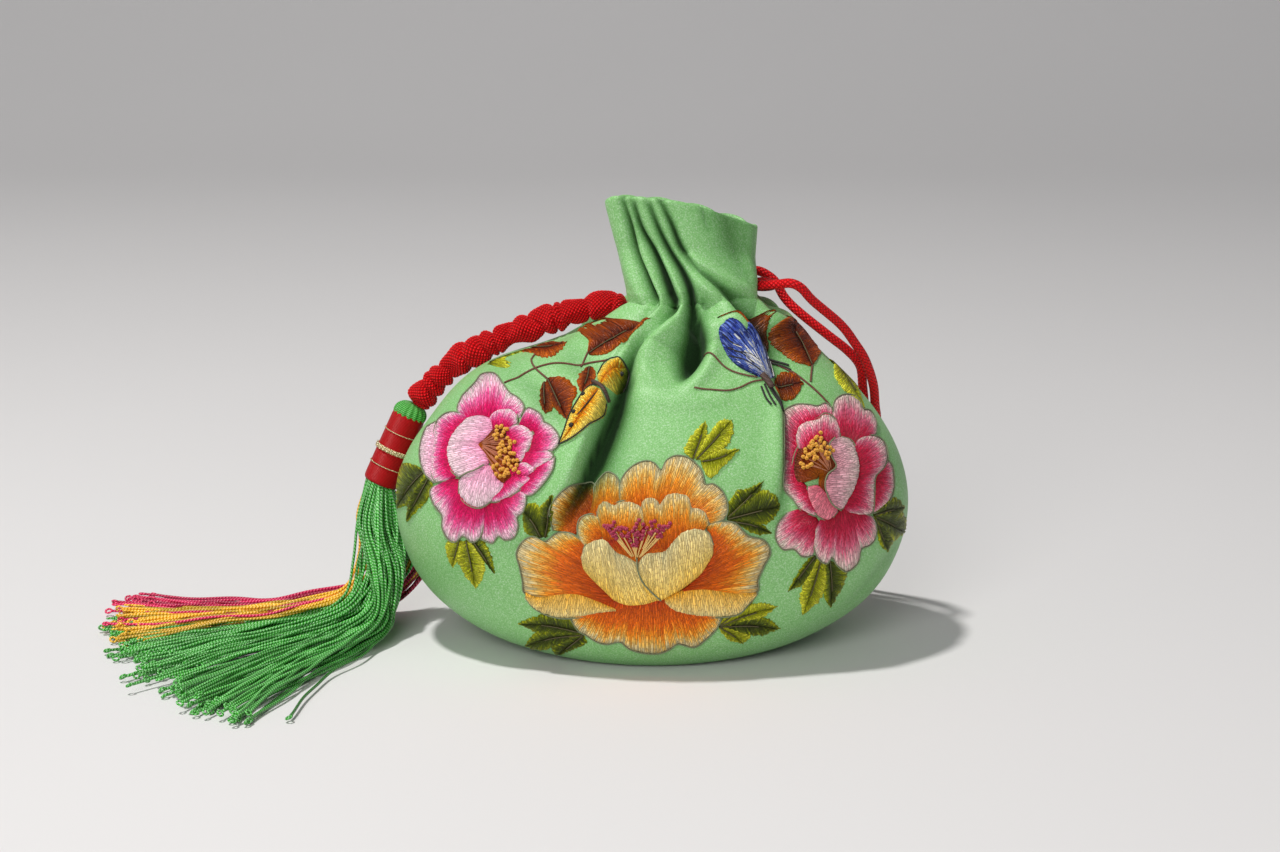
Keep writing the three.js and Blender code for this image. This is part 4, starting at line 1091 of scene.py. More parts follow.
LEFT_PEONY = [
    (
        "pink_pale", 0.4, [(436, 421), (426, 429), (421, 445), (421, 460), (426, 474), (435, 483)],
        [(438, 424), (440, 440), (438, 455), (438, 470), (439, 482)]
    ),
    (
        "pink_deep", 0.55,
        [
            (441, 484), (432, 489), (432, 498), (437, 508), (443, 516), (443, 527), (448, 538), (456, 542), (464, 536),
            (473, 542), (481, 537), (486, 523)
        ],
        [(452, 478), (462, 480), (466, 488), (470, 496), (478, 502), (486, 504)]
    ),
    (
        "pink_deep", 0.55,
        [
            (527, 490), (527, 502), (524, 512), (518, 517), (519, 526), (515, 537), (506, 540), (499, 536), (493, 543),
            (482, 539)
        ],
        [(508, 492), (502, 496), (494, 500), (486, 504)]
    ),
    (
        "pink_deep", 0.6,
        [
            (458, 414), (457, 406), (461, 398), (469, 391), (480, 383), (490, 376), (498, 375), (504, 382), (510, 390),
            (519, 396), (524, 405), (521, 415)
        ],
        [(468, 424), (478, 426), (490, 426), (505, 422)]
    ),
    (
        "pink_deep", 0.6, [(521, 420), (526, 407), (531, 406), (540, 412), (544, 422)],
        [(517, 428), (527, 432), (536, 436)]
    ),
    (
        "pink_deep", 0.65, [(543, 420), (551, 425), (559, 435), (560, 446), (554, 452)],
        [(533, 436), (530, 446), (526, 456)]
    ),
    (
        "pink_deep", 0.6, [(557, 458), (555, 470), (547, 482), (535, 494), (527, 496)],
        [(536, 466), (530, 474), (522, 482), (516, 488)]
    ),
    (
        "pink_deep", 0.75, [(548, 450), (555, 456), (552, 462), (545, 466), (538, 470)],
        [(524, 452), (522, 460), (518, 466)]
    ),
    (
        "pink_deep", 0.8,
        [
            (466, 414), (458, 411), (447, 412), (438, 420), (435, 430), (434, 444), (432, 458), (433, 472), (437, 482),
            (448, 481)
        ],
        [(472, 420), (466, 427), (460, 435), (456, 444), (454, 455), (456, 466), (460, 476)]
    ),
    (
        "pink_deep", 0.85, [(488, 418), (493, 410), (502, 406), (511, 406), (517, 412), (518, 422)],
        [(492, 432), (500, 434), (507, 432)]
    ),
    (
        "pink_deep", 0.9,
        [(510, 427), (520, 424), (529, 427), (535, 436), (532, 446), (528, 453), (526, 459), (519, 465)],
        [(500, 434), (503, 444), (505, 452), (506, 462)]
    ),
    (
        "pink_deep", 1.0, [(536, 479), (524, 488), (511, 497), (499, 502), (492, 502)],
        [(516, 470), (508, 478), (502, 485), (494, 494)]
    ),
    ("pink_deep", 1.05, [(520, 464), (528, 462), (536, 467), (537, 472)], [(508, 470), (511, 477), (516, 483)]),
    (
        "pink_pale", 1.15,
        [(461, 480), (461, 495), (468, 504), (478, 508), (486, 506), (494, 500), (505, 492), (507, 485)],
        [(466, 474), (474, 473), (481, 470), (487, 466), (491, 466), (495, 470), (499, 478), (506, 484)]
    ),
    (
        "heart_gold", 0.9,
        [(484, 440), (492, 430), (504, 424), (515, 434), (521, 450), (523, 466), (518, 480), (506, 490)],
        [(478, 446), (484, 454), (490, 462), (492, 470), (496, 480)]
    ),
    (
        "pink_pale", 1.35,
        [(480, 415), (467, 418), (457, 428), (450, 441), (448, 457), (453, 471), (462, 478), (476, 478)],
        [(483, 415), (492, 419), (495, 430), (488, 440), (481, 445), (487, 453), (490, 461), (486, 470), (479, 477)]
    ),
]
RIGHT_PEONY = [
    (
        "rose_deep", 0.4,
        [(786, 470), (784, 450), (784, 430), (785, 410), (795, 404), (806, 405), (816, 407), (824, 404), (831, 409)],
        [(800, 474), (802, 456), (806, 442), (812, 434), (818, 430), (825, 428), (832, 430)]
    ),
    (
        "rose_deep", 0.4, [(886, 459), (892, 468), (893, 488), (888, 502), (878, 511), (872, 513)],
        [(878, 466), (874, 476), (871, 490), (868, 504)]
    ),
    (
        "rose_deep", 0.5, [(787, 513), (777, 525), (775, 538), (782, 549), (793, 549), (801, 556), (812, 555)],
        [(800, 508), (808, 512), (815, 517), (820, 526)]
    ),
    (
        "rose_deep", 0.55,
        [(831, 413), (833, 402), (840, 396), (849, 395), (858, 400), (862, 409), (869, 411), (875, 421), (875, 434)],
        [(836, 440), (845, 447), (853, 448), (864, 442)]
    ),
    (
        "rose_deep", 0.6, [(787, 455), (784, 475), (786, 490), (793, 500), (800, 511), (814, 516)],
        [(798, 462), (800, 478), (806, 488), (812, 500), (820, 510)]
    ),
    (
        "rose_deep", 0.7,
        [
            (812, 526), (812, 546), (818, 559), (826, 563), (831, 557), (836, 565), (846, 571), (857, 562), (860, 549),
            (868, 545), (874, 538), (875, 526), (871, 516)
        ],
        [(822, 517), (828, 517), (835, 511), (841, 506), (850, 508), (858, 511)]
    ),
    (
        "rose_deep", 0.85,
        [(798, 449), (795, 436), (798, 425), (807, 421), (815, 420), (822, 415), (831, 418), (837, 427), (838, 438)],
        [(803, 462), (810, 456), (818, 452), (824, 452), (830, 450)]
    ),
    (
        "rose_deep", 0.9,
        [
            (854, 441), (863, 436), (876, 437), (884, 445), (886, 458), (882, 468), (874, 477), (873, 493), (871, 512),
            (860, 515), (846, 513)
        ],
        [(850, 452), (852, 465), (852, 475), (850, 485), (845, 495), (838, 505)]
    ),
    (
        "heart_gold", 0.9,
        [(792, 486), (793, 464), (798, 446), (810, 435), (824, 438), (834, 452), (836, 472), (830, 488), (816, 500)],
        [(815, 479), (815.4, 477.6), (816, 477), (816.6, 477.8), (816.4, 479.2)]
    ),
    (
        "rose_flat", 0.95, [(805, 487), (804, 496), (808, 506), (816, 516), (827, 520), (836, 511)],
        [(814, 485), (821, 489), (828, 497), (836, 504)]
    ),
    (
        "rose_pale", 1.35, [(839, 438), (850, 442), (856, 456), (858, 473), (853, 489), (846, 500), (840, 509)],
        [(830, 440), (824, 446), (826, 458), (831, 468), (821, 477), (820, 488), (827, 503), (836, 509)]
    ),
]
# Extra cords of the peonies, where two petals meet at their roots.
PETAL_EDGES = {
    "orange_peony": [[(637, 556), (638, 568), (643, 580), (652, 590), (661, 598)]],
    "left_pink_peony": [[(463, 478), (470, 474), (478, 471), (487, 466)]],
    "right_pink_peony": [
        [(830, 440), (824, 447), (826, 458), (831, 468), (822, 476), (820, 488), (827, 503), (837, 510)]
    ],
}
PEONIES = {"orange_peony": ORANGE_PEONY, "left_pink_peony": LEFT_PEONY, "right_pink_peony": RIGHT_PEONY}

# Leaf lobes: finish, vein, left margin and right margin, each from the stalk to the tip.
LEAVES = [
    (
        "leaf_light", [(693, 459), (700, 440), (705, 421)],
        [(691, 458), (684, 452), (688, 440), (696, 431), (705, 421)], [(695, 458), (701, 447), (707, 432), (705, 421)]
    ),
    (
        "leaf_light", [(697, 459), (714, 441), (732, 420)],
        [(695, 458), (703, 442), (713, 428), (722, 420), (732, 420)],
        [(699, 460), (713, 453), (727, 446), (733, 434), (732, 420)]
    ),
    (
        "leaf_light", [(702, 462), (720, 458), (740, 449)], [(700, 459), (718, 450), (730, 449), (740, 449)],
        [(701, 464), (707, 477), (714, 476), (725, 465), (740, 449)]
    ),
    (
        "leaf_dark", [(728, 517), (746, 500), (763, 481)], [(727, 515), (729, 502), (737, 491), (749, 488), (763, 481)],
        [(730, 518), (745, 506), (757, 494), (763, 481)]
    ),
    (
        "leaf_dark", [(728, 519), (755, 512), (781, 506)], [(728, 516), (745, 500), (760, 490), (774, 495), (781, 506)],
        [(728, 521), (745, 522), (765, 524), (775, 517), (781, 506)]
    ),
    (
        "leaf_dark", [(729, 521), (752, 525), (772, 533)], [(730, 519), (748, 517), (762, 524), (772, 533)],
        [(729, 523), (740, 526), (752, 533), (762, 535), (772, 533)]
    ),
    (
        "leaf_light", [(720, 624), (736, 612), (753, 601)], [(719, 622), (729, 611), (741, 600), (753, 601)],
        [(722, 624), (735, 618), (748, 610), (753, 601)]
    ),
    (
        "leaf_light", [(720, 625), (748, 614), (777, 606)], [(720, 623), (745, 606), (762, 603), (777, 606)],
        [(721, 626), (740, 623), (762, 617), (777, 606)]
    ),
    (
        "leaf_dark", [(720, 626), (750, 625), (780, 628)], [(721, 624), (745, 616), (765, 617), (780, 628)],
        [(721, 628), (740, 633), (760, 635), (780, 628)]
    ),
    (
        "leaf_light", [(720, 627), (732, 634), (743, 643)], [(722, 626), (738, 628), (750, 635), (743, 643)],
        [(719, 628), (724, 635), (732, 641), (743, 643)]
    ),
    (
        "leaf_dark", [(583, 632), (550, 625), (518, 623)], [(583, 629), (570, 618), (552, 613), (533, 617), (518, 623)],
        [(583, 635), (560, 634), (538, 632), (518, 623)]
    ),
    (
        "leaf_dark", [(583, 634), (553, 637), (525, 645)], [(582, 632), (555, 630), (535, 634), (525, 645)],
        [(583, 636), (560, 644), (540, 650), (525, 645)]
    ),
    (
        "leaf_dark", [(583, 635), (570, 645), (557, 655)], [(581, 634), (565, 636), (552, 646), (557, 655)],
        [(585, 636), (586, 643), (572, 649), (557, 655)]
    ),
    (
        "leaf_dark", [(545, 537), (549, 515), (554, 494)], [(543, 536), (537, 520), (543, 505), (554, 494)],
        [(547, 537), (552, 522), (555, 508), (554, 494)]
    ),
    (
        "leaf_dark", [(541, 537), (534, 523), (523, 509)], [(538, 538), (526, 532), (523, 520), (523, 509)],
        [(544, 537), (545, 518), (538, 504), (530, 503), (523, 509)]
    ),
    (
        "leaf_dark", [(430, 478), (418, 500), (407, 522)], [(427, 477), (411, 492), (408, 506), (407, 522)],
        [(433, 480), (433, 487), (427, 500), (407, 522)]
    ),
    (
        "leaf_dark", [(425, 472), (410, 488), (398, 508)], [(422, 468), (410, 463), (401, 467), (397, 485), (398, 508)],
        [(427, 474), (422, 490), (410, 504), (398, 508)]
    ),
    (
        "leaf_light", [(460, 541), (456, 555), (453, 568)], [(457, 541), (447, 542), (447, 555), (453, 568)],
        [(463, 541), (461, 553), (453, 568)]
    ),
    (
        "leaf_light", [(467, 541), (472, 565), (476, 588)], [(464, 541), (456, 556), (464, 573), (476, 588)],
        [(470, 541), (481, 553), (485, 573), (476, 588)]
    ),
    (
        "leaf_dark", [(474, 541), (485, 557), (495, 574)], [(471, 542), (482, 558), (495, 574)],
        [(477, 541), (484, 541), (492, 557), (495, 574)]
    ),
    (
        "leaf_dark", [(814, 556), (801, 573), (788, 591)], [(812, 555), (802, 566), (795, 577), (788, 591)],
        [(816, 558), (811, 572), (802, 584), (788, 591)]
    ),
    (
        "leaf_light", [(820, 560), (812, 588), (802, 615)], [(816, 559), (806, 577), (800, 595), (802, 615)],
        [(824, 562), (827, 580), (819, 600), (802, 615)]
    ),
    (
        "leaf_dark", [(829, 561), (831, 584), (830, 607)], [(825, 562), (823, 580), (824, 595), (830, 607)],
        [(834, 562), (846, 571), (842, 587), (830, 607)]
    ),
    (
        "leaf_dark", [(874, 515), (890, 510), (904, 507)], [(873, 513), (880, 505), (891, 497), (899, 500), (904, 507)],
        [(874, 518), (888, 518), (898, 515), (904, 507)]
    ),
    (
        "leaf_dark", [(875, 517), (890, 524), (904, 533)], [(875, 514), (890, 511), (902, 513), (906, 523), (904, 533)],
        [(874, 520), (882, 531), (893, 541), (904, 533)]
    ),
    (
        "leaf_dark", [(875, 519), (881, 536), (888, 552)], [(877, 518), (886, 526), (893, 540), (888, 552)],
        [(872, 519), (876, 531), (880, 544), (888, 552)]
    ),
    (
        "leaf_light", [(836, 361), (850, 384), (864, 408)], [(838, 359), (847, 370), (857, 384), (864, 408)],
        [(834, 362), (836, 378), (848, 395), (864, 408)]
    ),
    (
        "leaf_brown", [(588, 352), (611, 336), (637, 319)],
        [(586, 351), (582, 337), (589, 326), (606, 318), (637, 319)],
        [(590, 354), (604, 353), (619, 341), (631, 329), (637, 319)]
    ),
    (
        "leaf_brown", [(549, 379), (558, 400), (568, 421)], [(547, 380), (548, 394), (556, 409), (568, 421)],
        [(551, 377), (566, 378), (578, 391), (573, 405), (568, 421)]
    ),
    (
        "leaf_brown", [(545, 381), (543, 395), (544, 411)], [(543, 381), (539, 388), (538, 398), (544, 411)],
        [(547, 381), (553, 391), (552, 403), (544, 411)]
    ),
    (
        "leaf_brown", [(590, 366), (587, 380), (583, 396)], [(587, 365), (580, 372), (578, 385), (583, 396)],
        [(594, 367), (597, 376), (592, 388), (583, 396)]
    ),
    (
        "leaf_brown", [(529, 352), (547, 350), (566, 344)], [(529, 350), (545, 344), (566, 344)],
        [(530, 355), (548, 358), (566, 344)]
    ),
    (
        "leaf_light", [(503, 367), (510, 361), (517, 353)], [(501, 365), (505, 357), (517, 353)],
        [(505, 369), (514, 364), (517, 353)]
    ),
    (
        "leaf_brown", [(770, 345), (754, 320), (734, 298)],
        [(768, 346), (757, 335), (747, 319), (735, 304), (734, 298)],
        [(773, 343), (775, 331), (771, 317), (764, 306), (750, 299), (734, 298)]
    ),
    (
        "leaf_brown", [(811, 365), (800, 340), (785, 315)],
        [(808, 366), (793, 359), (778, 340), (777, 325), (785, 315)],
        [(814, 364), (820, 352), (812, 335), (798, 321), (785, 315)]
    ),
    (
        "leaf_brown", [(776, 385), (790, 384), (803, 383)], [(775, 382), (781, 371), (793, 371), (803, 383)],
        [(775, 388), (784, 397), (796, 397), (803, 383)]
    ),
]

# Twigs and feelers as lines in picture points.
TWIGS = [
    [(505, 381), (518, 375), (532, 370), (546, 366), (561, 363), (585, 362), (607, 362)],
    [(539, 353), (534, 362), (538, 369), (546, 376), (551, 380)],
    [(592, 343), (586, 350), (582, 358), (580, 364)],
    [(768, 352), (780, 361), (793, 371), (805, 382), (818, 394), (829, 406)],
    [(812, 364), (811, 372), (810, 382)],
]
FEELERS = [
    [(705, 349), (714, 359), (729, 370), (745, 376), (756, 379)],
    [(694, 389), (709, 390), (726, 391), (739, 388), (751, 383), (762, 382)],
]
BLUE_WING = (
    [
        (756, 378), (739, 368), (728, 357), (721, 344), (719, 332), (724, 325), (731, 322), (738, 325), (741, 333),
        (743, 341), (746, 333), (749, 326), (755, 323), (762, 332), (768, 350), (773, 366), (774, 377)
    ],
    [(764, 381), (765, 380), (766, 379), (768, 380), (769, 381)]
)
BLUE_STREAKS = [
    [(722, 338), (730, 345), (738, 350)], [(727, 350), (740, 357), (752, 368)], [(733, 354), (746, 358), (757, 366)],
    [(757, 333), (761, 350), (767, 372)], [(762, 346), (767, 361), (770, 376)], [(728, 358), (742, 363), (758, 374)]
]
TAIL_STRANDS = [
    [(763, 386), (769, 398), (774, 407)], [(766, 386), (774, 398), (782, 410)], [(760, 388), (765, 399), (770, 406)],
    [(770, 388), (777, 399), (784, 410)], [(766, 350), (778, 357), (790, 364)], [(768, 354), (780, 361), (792, 369)]
]
YELLOW_WINGS = [
    (
        [(600, 393), (582, 419), (561, 445)], [(598, 391), (589, 389), (577, 406), (568, 422), (561, 445)],
        [(602, 394), (607, 404), (603, 415), (592, 428), (577, 439), (561, 445)]
    ),
    (
        [(603, 390), (613, 376), (624, 362)], [(601, 389), (599, 378), (606, 366), (617, 359), (624, 362)],
        [(605, 391), (613, 391), (621, 382), (627, 369), (624, 362)]
    ),
]
YELLOW_LINES = [
    [(607, 404), (603, 415), (592, 428), (577, 439), (560, 446)],
    [(600, 390), (590, 389), (577, 406), (568, 422), (560, 446)],
    [(599, 377), (606, 365), (617, 359), (625, 362), (627, 369), (621, 382)],
    [(600, 396), (586, 412), (574, 424)],
    [(603, 400), (590, 415), (578, 428)],
    [(597, 393), (585, 403), (578, 411)],
]
YELLOW_SPOTS = [(585, 398), (576, 415), (573, 428), (621, 371)]
STAMENS = {
    "orange_stamens": (
        (637, 560),
        [
            (605, 525), (609, 528), (613, 525), (614, 531), (619, 527), (622, 533), (627, 528), (629, 535), (633, 530),
            (636, 538), (637, 523), (638, 531), (643, 534), (647, 527), (651, 533), (652, 525), (657, 530), (659, 525),
            (663, 529), (667, 526), (661, 535), (617, 537), (634, 543)
        ]
    ),
    "left_stamens": (
        (482, 446),
        [
            (503, 429), (506, 434), (500, 436), (510, 440), (505, 444), (513, 446), (508, 451), (515, 455), (510, 459),
            (516, 462), (507, 463), (514, 468), (506, 470), (511, 474), (518, 470), (503, 477), (499, 441), (501, 450),
            (503, 457), (500, 466)
        ]
    ),
    "right_stamens": (
        (826, 474),
        [
            (812, 440), (815, 444), (808, 444), (819, 446), (805, 449), (812, 449), (822, 450), (816, 453), (802, 454),
            (808, 455), (820, 457), (803, 460), (812, 460), (800, 466), (807, 466), (824, 456)
        ]
    ),
}

# Colours of the stamens' knots and lines.
STAMEN_COLOURS = {
    "orange_stamens": ((190, 8, 72), (255, 206, 104)),
    "left_stamens": ((255, 180, 30), (190, 90, 20)),
    "right_stamens": ((255, 180, 30), (190, 96, 14)),
}

# How far, in picture points, a second knot may lie from each of the places above.
STAMEN_SPREAD = {"orange_stamens": (4.0, 4.6), "left_stamens": (4.4, 4.0), "right_stamens": (4.2, 4.2)}


def on_front(spots, height):
    """Points of the folded front under these picture points, at a height in mm over the satin."""
    turn, level = place_on_front(spots)
    plain = plain_point(turn, level, -1)
    lift, _ = cloth_lift(turn, level, -1, plain)
    return plain + plain_normal(turn, level, -1) * (lift + height)[:, None]


def stitched_patch(shell, outer, inner, height, slot, generator, ragged=0.5, dome=0.5):
    """Raised satin stitch between two lines: each stitch is a straight line from inner to outer.

    Its top stands off the cloth by the height, rises a little more in the middle and falls in a
    quarter wave to the cloth at its edges. The outer line is made uneven by random shares.
    """
    length = max(line_length(np.array(outer, float)), line_length(np.array(inner, float)))
    rows = int(np.clip(length / 1.5, 14, 110))
    far, near = smooth_line(outer, rows), smooth_line(inner, rows)
    reach = float(np.linalg.norm(far - near, axis=1).mean())
    far = far + unit(far - near) * generator.uniform(-ragged, ragged, rows)[:, None]
    columns = int(np.clip(reach / 2.0, 7, 22))
    share = np.linspace(0, 1, columns)
    spots = mix(near[:, None], far[:, None], share[None, :, None])
    s = np.linspace(0, 1, rows)[:, None]
    side_edge = np.clip(np.minimum(s, 1 - s) * length / 3.0, 0, 1)
    end_edge = np.clip(np.minimum(share, 1 - share)[None, :] * reach / 3.5, 0, 1)
    edge = np.sin(np.minimum(side_edge, end_edge) * np.pi / 2)
    crown = np.sin(np.pi * s) ** 0.5 * np.sin(np.pi * share)[None, :] ** 0.5
    high = 0.1 + height * mix(0.45, 1.0, edge) + dome * crown
    turn, level = place_on_front(spots.reshape(-1, 2))
    plain = plain_point(turn, level, -1)
    lift, folds = cloth_lift(turn, level, -1, plain)
    normal = plain_normal(turn, level, -1)
    top = plain + normal * (lift + high.ravel())[:, None]
    foot = plain + normal * (lift - 0.3)[:, None]
    across = np.linspace(0, length * MM_PER_POINT, rows) + generator.uniform(0, 40)
    # Painted shade of the stitches where the cloth below lies deep in a fold.
    crease = np.clip(-folds / FULL_SHADE_FOLD, 0, 1).reshape(rows, columns)
    add_wall(shell, top.reshape(rows, columns, 3), foot.reshape(rows, columns, 3), across, share, slot, crease)


def laid_line(shell, spots, height, radius, slot=0, sides=6):
    """A cord laid on the front along picture points."""
    count = max(6, int(line_length(np.array(spots, float)) / 2.2))
    path = on_front(smooth_line(spots, count), height)
    add_tubes(shell, path[None], radius, sides, around=2 * np.pi * radius, slot=slot)


# Rings of a small wound knot, in degrees over its middle, and the points of each ring.
BEAD_RINGS = np.radians([-75, -40, 0, 40, 75])
BEAD_SIDES = 8


def bead(shell, spots, height, radius, slot=0):
    """Small knots of wound thread: rings of a ball flattened on the cloth, at picture points."""
    centre = on_front(np.asarray(spots, float), height)
    side, rise = np.meshgrid(np.linspace(0, 2 * np.pi, BEAD_SIDES, endpoint=False), BEAD_RINGS)
    ball = np.stack([np.cos(rise) * np.cos(side), np.sin(rise) * 0.9, np.cos(rise) * np.sin(side)], axis=-1)
    quads, corners = grid_faces(len(BEAD_RINGS), BEAD_SIDES, closed=True)
    shift = (np.arange(len(centre)) * rise.size)[:, None, None]
    points = centre[:, None] + ball.reshape(1, -1, 3) * radius
    uv = np.broadcast_to(corners * 0.3, (len(centre),) + corners.shape).reshape(-1, 4, 2)
    ring = np.arange(BEAD_SIDES)
    first = (ring[::-1][None] + shift[:, 0]).reshape(-1, BEAD_SIDES)
    last = (rise.size - BEAD_SIDES + ring[None] + shift[:, 0]).reshape(-1, BEAD_SIDES)
    flat = np.zeros((len(centre), BEAD_SIDES, 2))
    shell.add(points.reshape(-1, 3), [((quads[None] + shift).reshape(-1, 4), uv), (first, flat), (last, flat)], slot)


class PouchClothSettings(PropertyGroup):
    satin: FloatVectorProperty(
        name="Satin", description="Colour of the satin outside", subtype="COLOR", size=3, min=0, max=1,
        default=tint(132, 193, 115)
    )
    lining: FloatVectorProperty(
        name="Lining", description="Colour of the cloth inside", subtype="COLOR", size=3, min=0, max=1,
        default=tint(122, 186, 108)
    )
    wadding: FloatVectorProperty(
        name="Wadding", description="Colour of the filling between the cloths", subtype="COLOR", size=3, min=0, max=1,
        default=tint(232, 226, 210)
    )
    # Strength of the satin's weave bump and of its painted glints.
    grain_and_glint: FloatProperty(name="Grain", description="Strength of the satin's fine grain", default=1.0, min=0, max=2)
    fineness: FloatProperty(
        name="Fineness", description="Share of the full number of rows and columns in the cloth", default=1.0, min=0.2,
        max=1
    )


class PouchEmbroiderySettings(PropertyGroup):
    thread: FloatProperty(
        name="Thread", description="Width of one stitch", default=0.0006, min=0.0001, max=0.002, unit="LENGTH",
        precision=5
    )
    outline: FloatProperty(
        name="Outline", description="Radius of the cord laid round each petal", default=0.00024, min=0.0001, max=0.001,
        unit="LENGTH", precision=5
    )
    outline_colour: FloatVectorProperty(
        name="Outline colour", description="Colour of the cord round the petals", subtype="COLOR", size=3, min=0, max=1,
        default=tint(128, 138, 98)
    )
    knot: FloatProperty(
        name="Knot", description="Radius of a stamen's knot", default=0.00068, min=0.0002, max=0.002, unit="LENGTH",
        precision=5
    )
    seed: IntProperty(name="Seed", description="Start of the random unevenness of the stitches", default=11, min=0)


class PouchCordSettings(PropertyGroup):
    red: FloatVectorProperty(
        name="Cord", description="Colour of the cords", subtype="COLOR", size=3, min=0, max=1, default=tint(214, 4, 16)
    )
    knotted_radius: FloatProperty(
        name="Knotted cord radius", description="Radius of the knotted cord over its knots", default=0.0045, min=0.002,
        max=0.008, unit="LENGTH", precision=4
    )
    pull_radius: FloatProperty(
        name="Pull cord radius", description="Radius of the plain cord", default=0.0015, min=0.0005, max=0.004,
        unit="LENGTH", precision=4
    )
    knots: IntProperty(name="Knots", description="Knots along the knotted cord", default=13, min=4, max=30)


class PouchTasselSettings(PropertyGroup):
    strands: IntProperty(name="Strands", description="Strands in the tassel", default=240, min=20, max=400)
    strand_radius: FloatProperty(
        name="Strand radius", description="Radius of one strand", default=0.00048, min=0.0002, max=0.001, unit="LENGTH",
        precision=5
    )
    green: FloatVectorProperty(
        name="Green strands", description="Colour of the front strands", subtype="COLOR", size=3, min=0, max=1,
        default=tint(46, 168, 18)
    )
    yellow: FloatVectorProperty(
        name="Yellow strands", description="Colour of the middle strands", subtype="COLOR", size=3, min=0, max=1,
        default=tint(236, 176, 14)
    )
    pink: FloatVectorProperty(
        name="Pink strands", description="Colour of the back strands", subtype="COLOR", size=3, min=0, max=1,
        default=tint(216, 16, 88)
    )
    gold: FloatVectorProperty(
        name="Gold thread", description="Colour of the gold thread", subtype="COLOR", size=3, min=0, max=1,
        default=tint(206, 176, 108)
    )
    seed: IntProperty(name="Seed", description="Start of the random spread of the strands", default=5, min=0)


class PouchStageSettings(PropertyGroup):
    floor: FloatVectorProperty(
        name="Floor", description="Colour of the floor", subtype="COLOR", size=3, min=0, max=1,
        default=(0.735, 0.725, 0.725)
    )
    key: FloatProperty(
        name="Main light", description="Power of the light from above left", default=19.0, min=0, unit="POWER"
    )
    fill: FloatProperty(
        name="Front light", description="Power of the broad light from the front", default=14.0, min=0, unit="POWER"
    )
    sky: FloatProperty(name="Room", description="Strength of the light from all round", default=0.2, min=0)


def silk(kind, sewing, **settings):
    """The silk of this kind, made once, in stitches as wide as the sewing's thread."""
    name = "silk_" + kind
    if name in bpy.data.materials:
        return bpy.data.materials[name]
    stops = [(at, tint(*shade)) for at, shade in PETAL_FINISHES[kind]]
    return thread_finish(name, stops, sewing.thread / MM, **settings)


def thread(name):
    """Plain laid thread, in the colour and width that its table gives."""
    colour, width, glint, gloss = THREADS[name]
    return wound_finish(name, tint(*colour), width, glint=glint, gloss=gloss)


class PouchOperator:
    """Shared settings of the operators below."""

    bl_options = {"REGISTER", "UNDO"}


class POUCH_OT_view(PouchOperator, Operator):
    """Makes the camera at the picture's view: 85 mm lens, tilted down by 12.5 degrees"""

    bl_idname = "pouch.view"
    bl_label = "Camera"

    def execute(self, context):
        data = bpy.data.cameras.new("picture_view")
        data.lens, data.sensor_width = LENS, SENSOR
        data.clip_start, data.clip_end = 0.01, 20.0
        camera = bpy.data.objects.new("picture_view", data)
        camera.location = VIEW_PLACE * MM
        camera.rotation_euler = (np.pi / 2 - VIEW_PITCH, 0.0, 0.0)
        context.scene.collection.objects.link(camera)
        context.scene.camera = camera
        return {"FINISHED"}


class POUCH_OT_pull_cord(PouchOperator, Operator):
    """Makes the plain pull cord: a circle carried along a smooth curve through its route"""

    bl_idname = "pouch.pull_cord"
    bl_label = "Pull cord"

    def execute(self, context):
        cords = context.scene.pouch_cords
        radius = cords.pull_radius / MM
        path = smooth_line(np.array(PULL_ROUTE) / MM, 420)
        shell = Shell()
        add_tubes(shell, path[None], radius, 14)
        piece = shell.build("pull_cord_braid", [braid_finish("red_braid", cords.red, 1.5, 6)])
        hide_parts("pull_cord")
        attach(piece, "pull_cord")
        route = path[::4] * MM
        route[-1] = path[-1] * MM
        return {"FINISHED"}


class POUCH_OT_drawcords(PouchOperator, Operator):
    """Makes the drawcords inside the channel, each a circle carried round an oval from its exit"""

    bl_idname = "pouch.drawcords"
    bl_label = "Drawcords"

    def execute(self, context):
        cords = context.scene.pouch_cords
        radius = cords.pull_radius / MM
        for name, exit_side, level in (("left_drawcord", -1, -1), ("right_drawcord", 1, 1)):
            turn = np.radians(np.arange(52, 309, 8))
            half, deep = NECK_HALF_WIDTH - CORD_DEPTH, NECK_HALF_DEPTH - CORD_DEPTH
            exit_x = NECK_CENTRE + exit_side * (NECK_HALF_WIDTH + CORD_REACH)
            knee = mix(exit_x, NECK_CENTRE + exit_side * half, 0.45)
            x = np.concatenate([[exit_x, knee], NECK_CENTRE + exit_side * half * np.cos(turn), [knee, exit_x]])
            y = np.concatenate([[-CORD_APART] * 2, -deep * np.sin(turn), [CORD_APART] * 2])
            z = neck_plane(x) + CORD_HEIGHT + level * CORD_STEP
            path = smooth_line(np.stack([x, y, z], axis=-1), 160)
            shell = Shell()
            add_tubes(shell, path[None], radius, 12)
            piece = shell.build(name + "_braid", [bpy.data.materials["red_braid"]])
            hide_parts(name)
            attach(piece, "pouch")
        return {"FINISHED"}


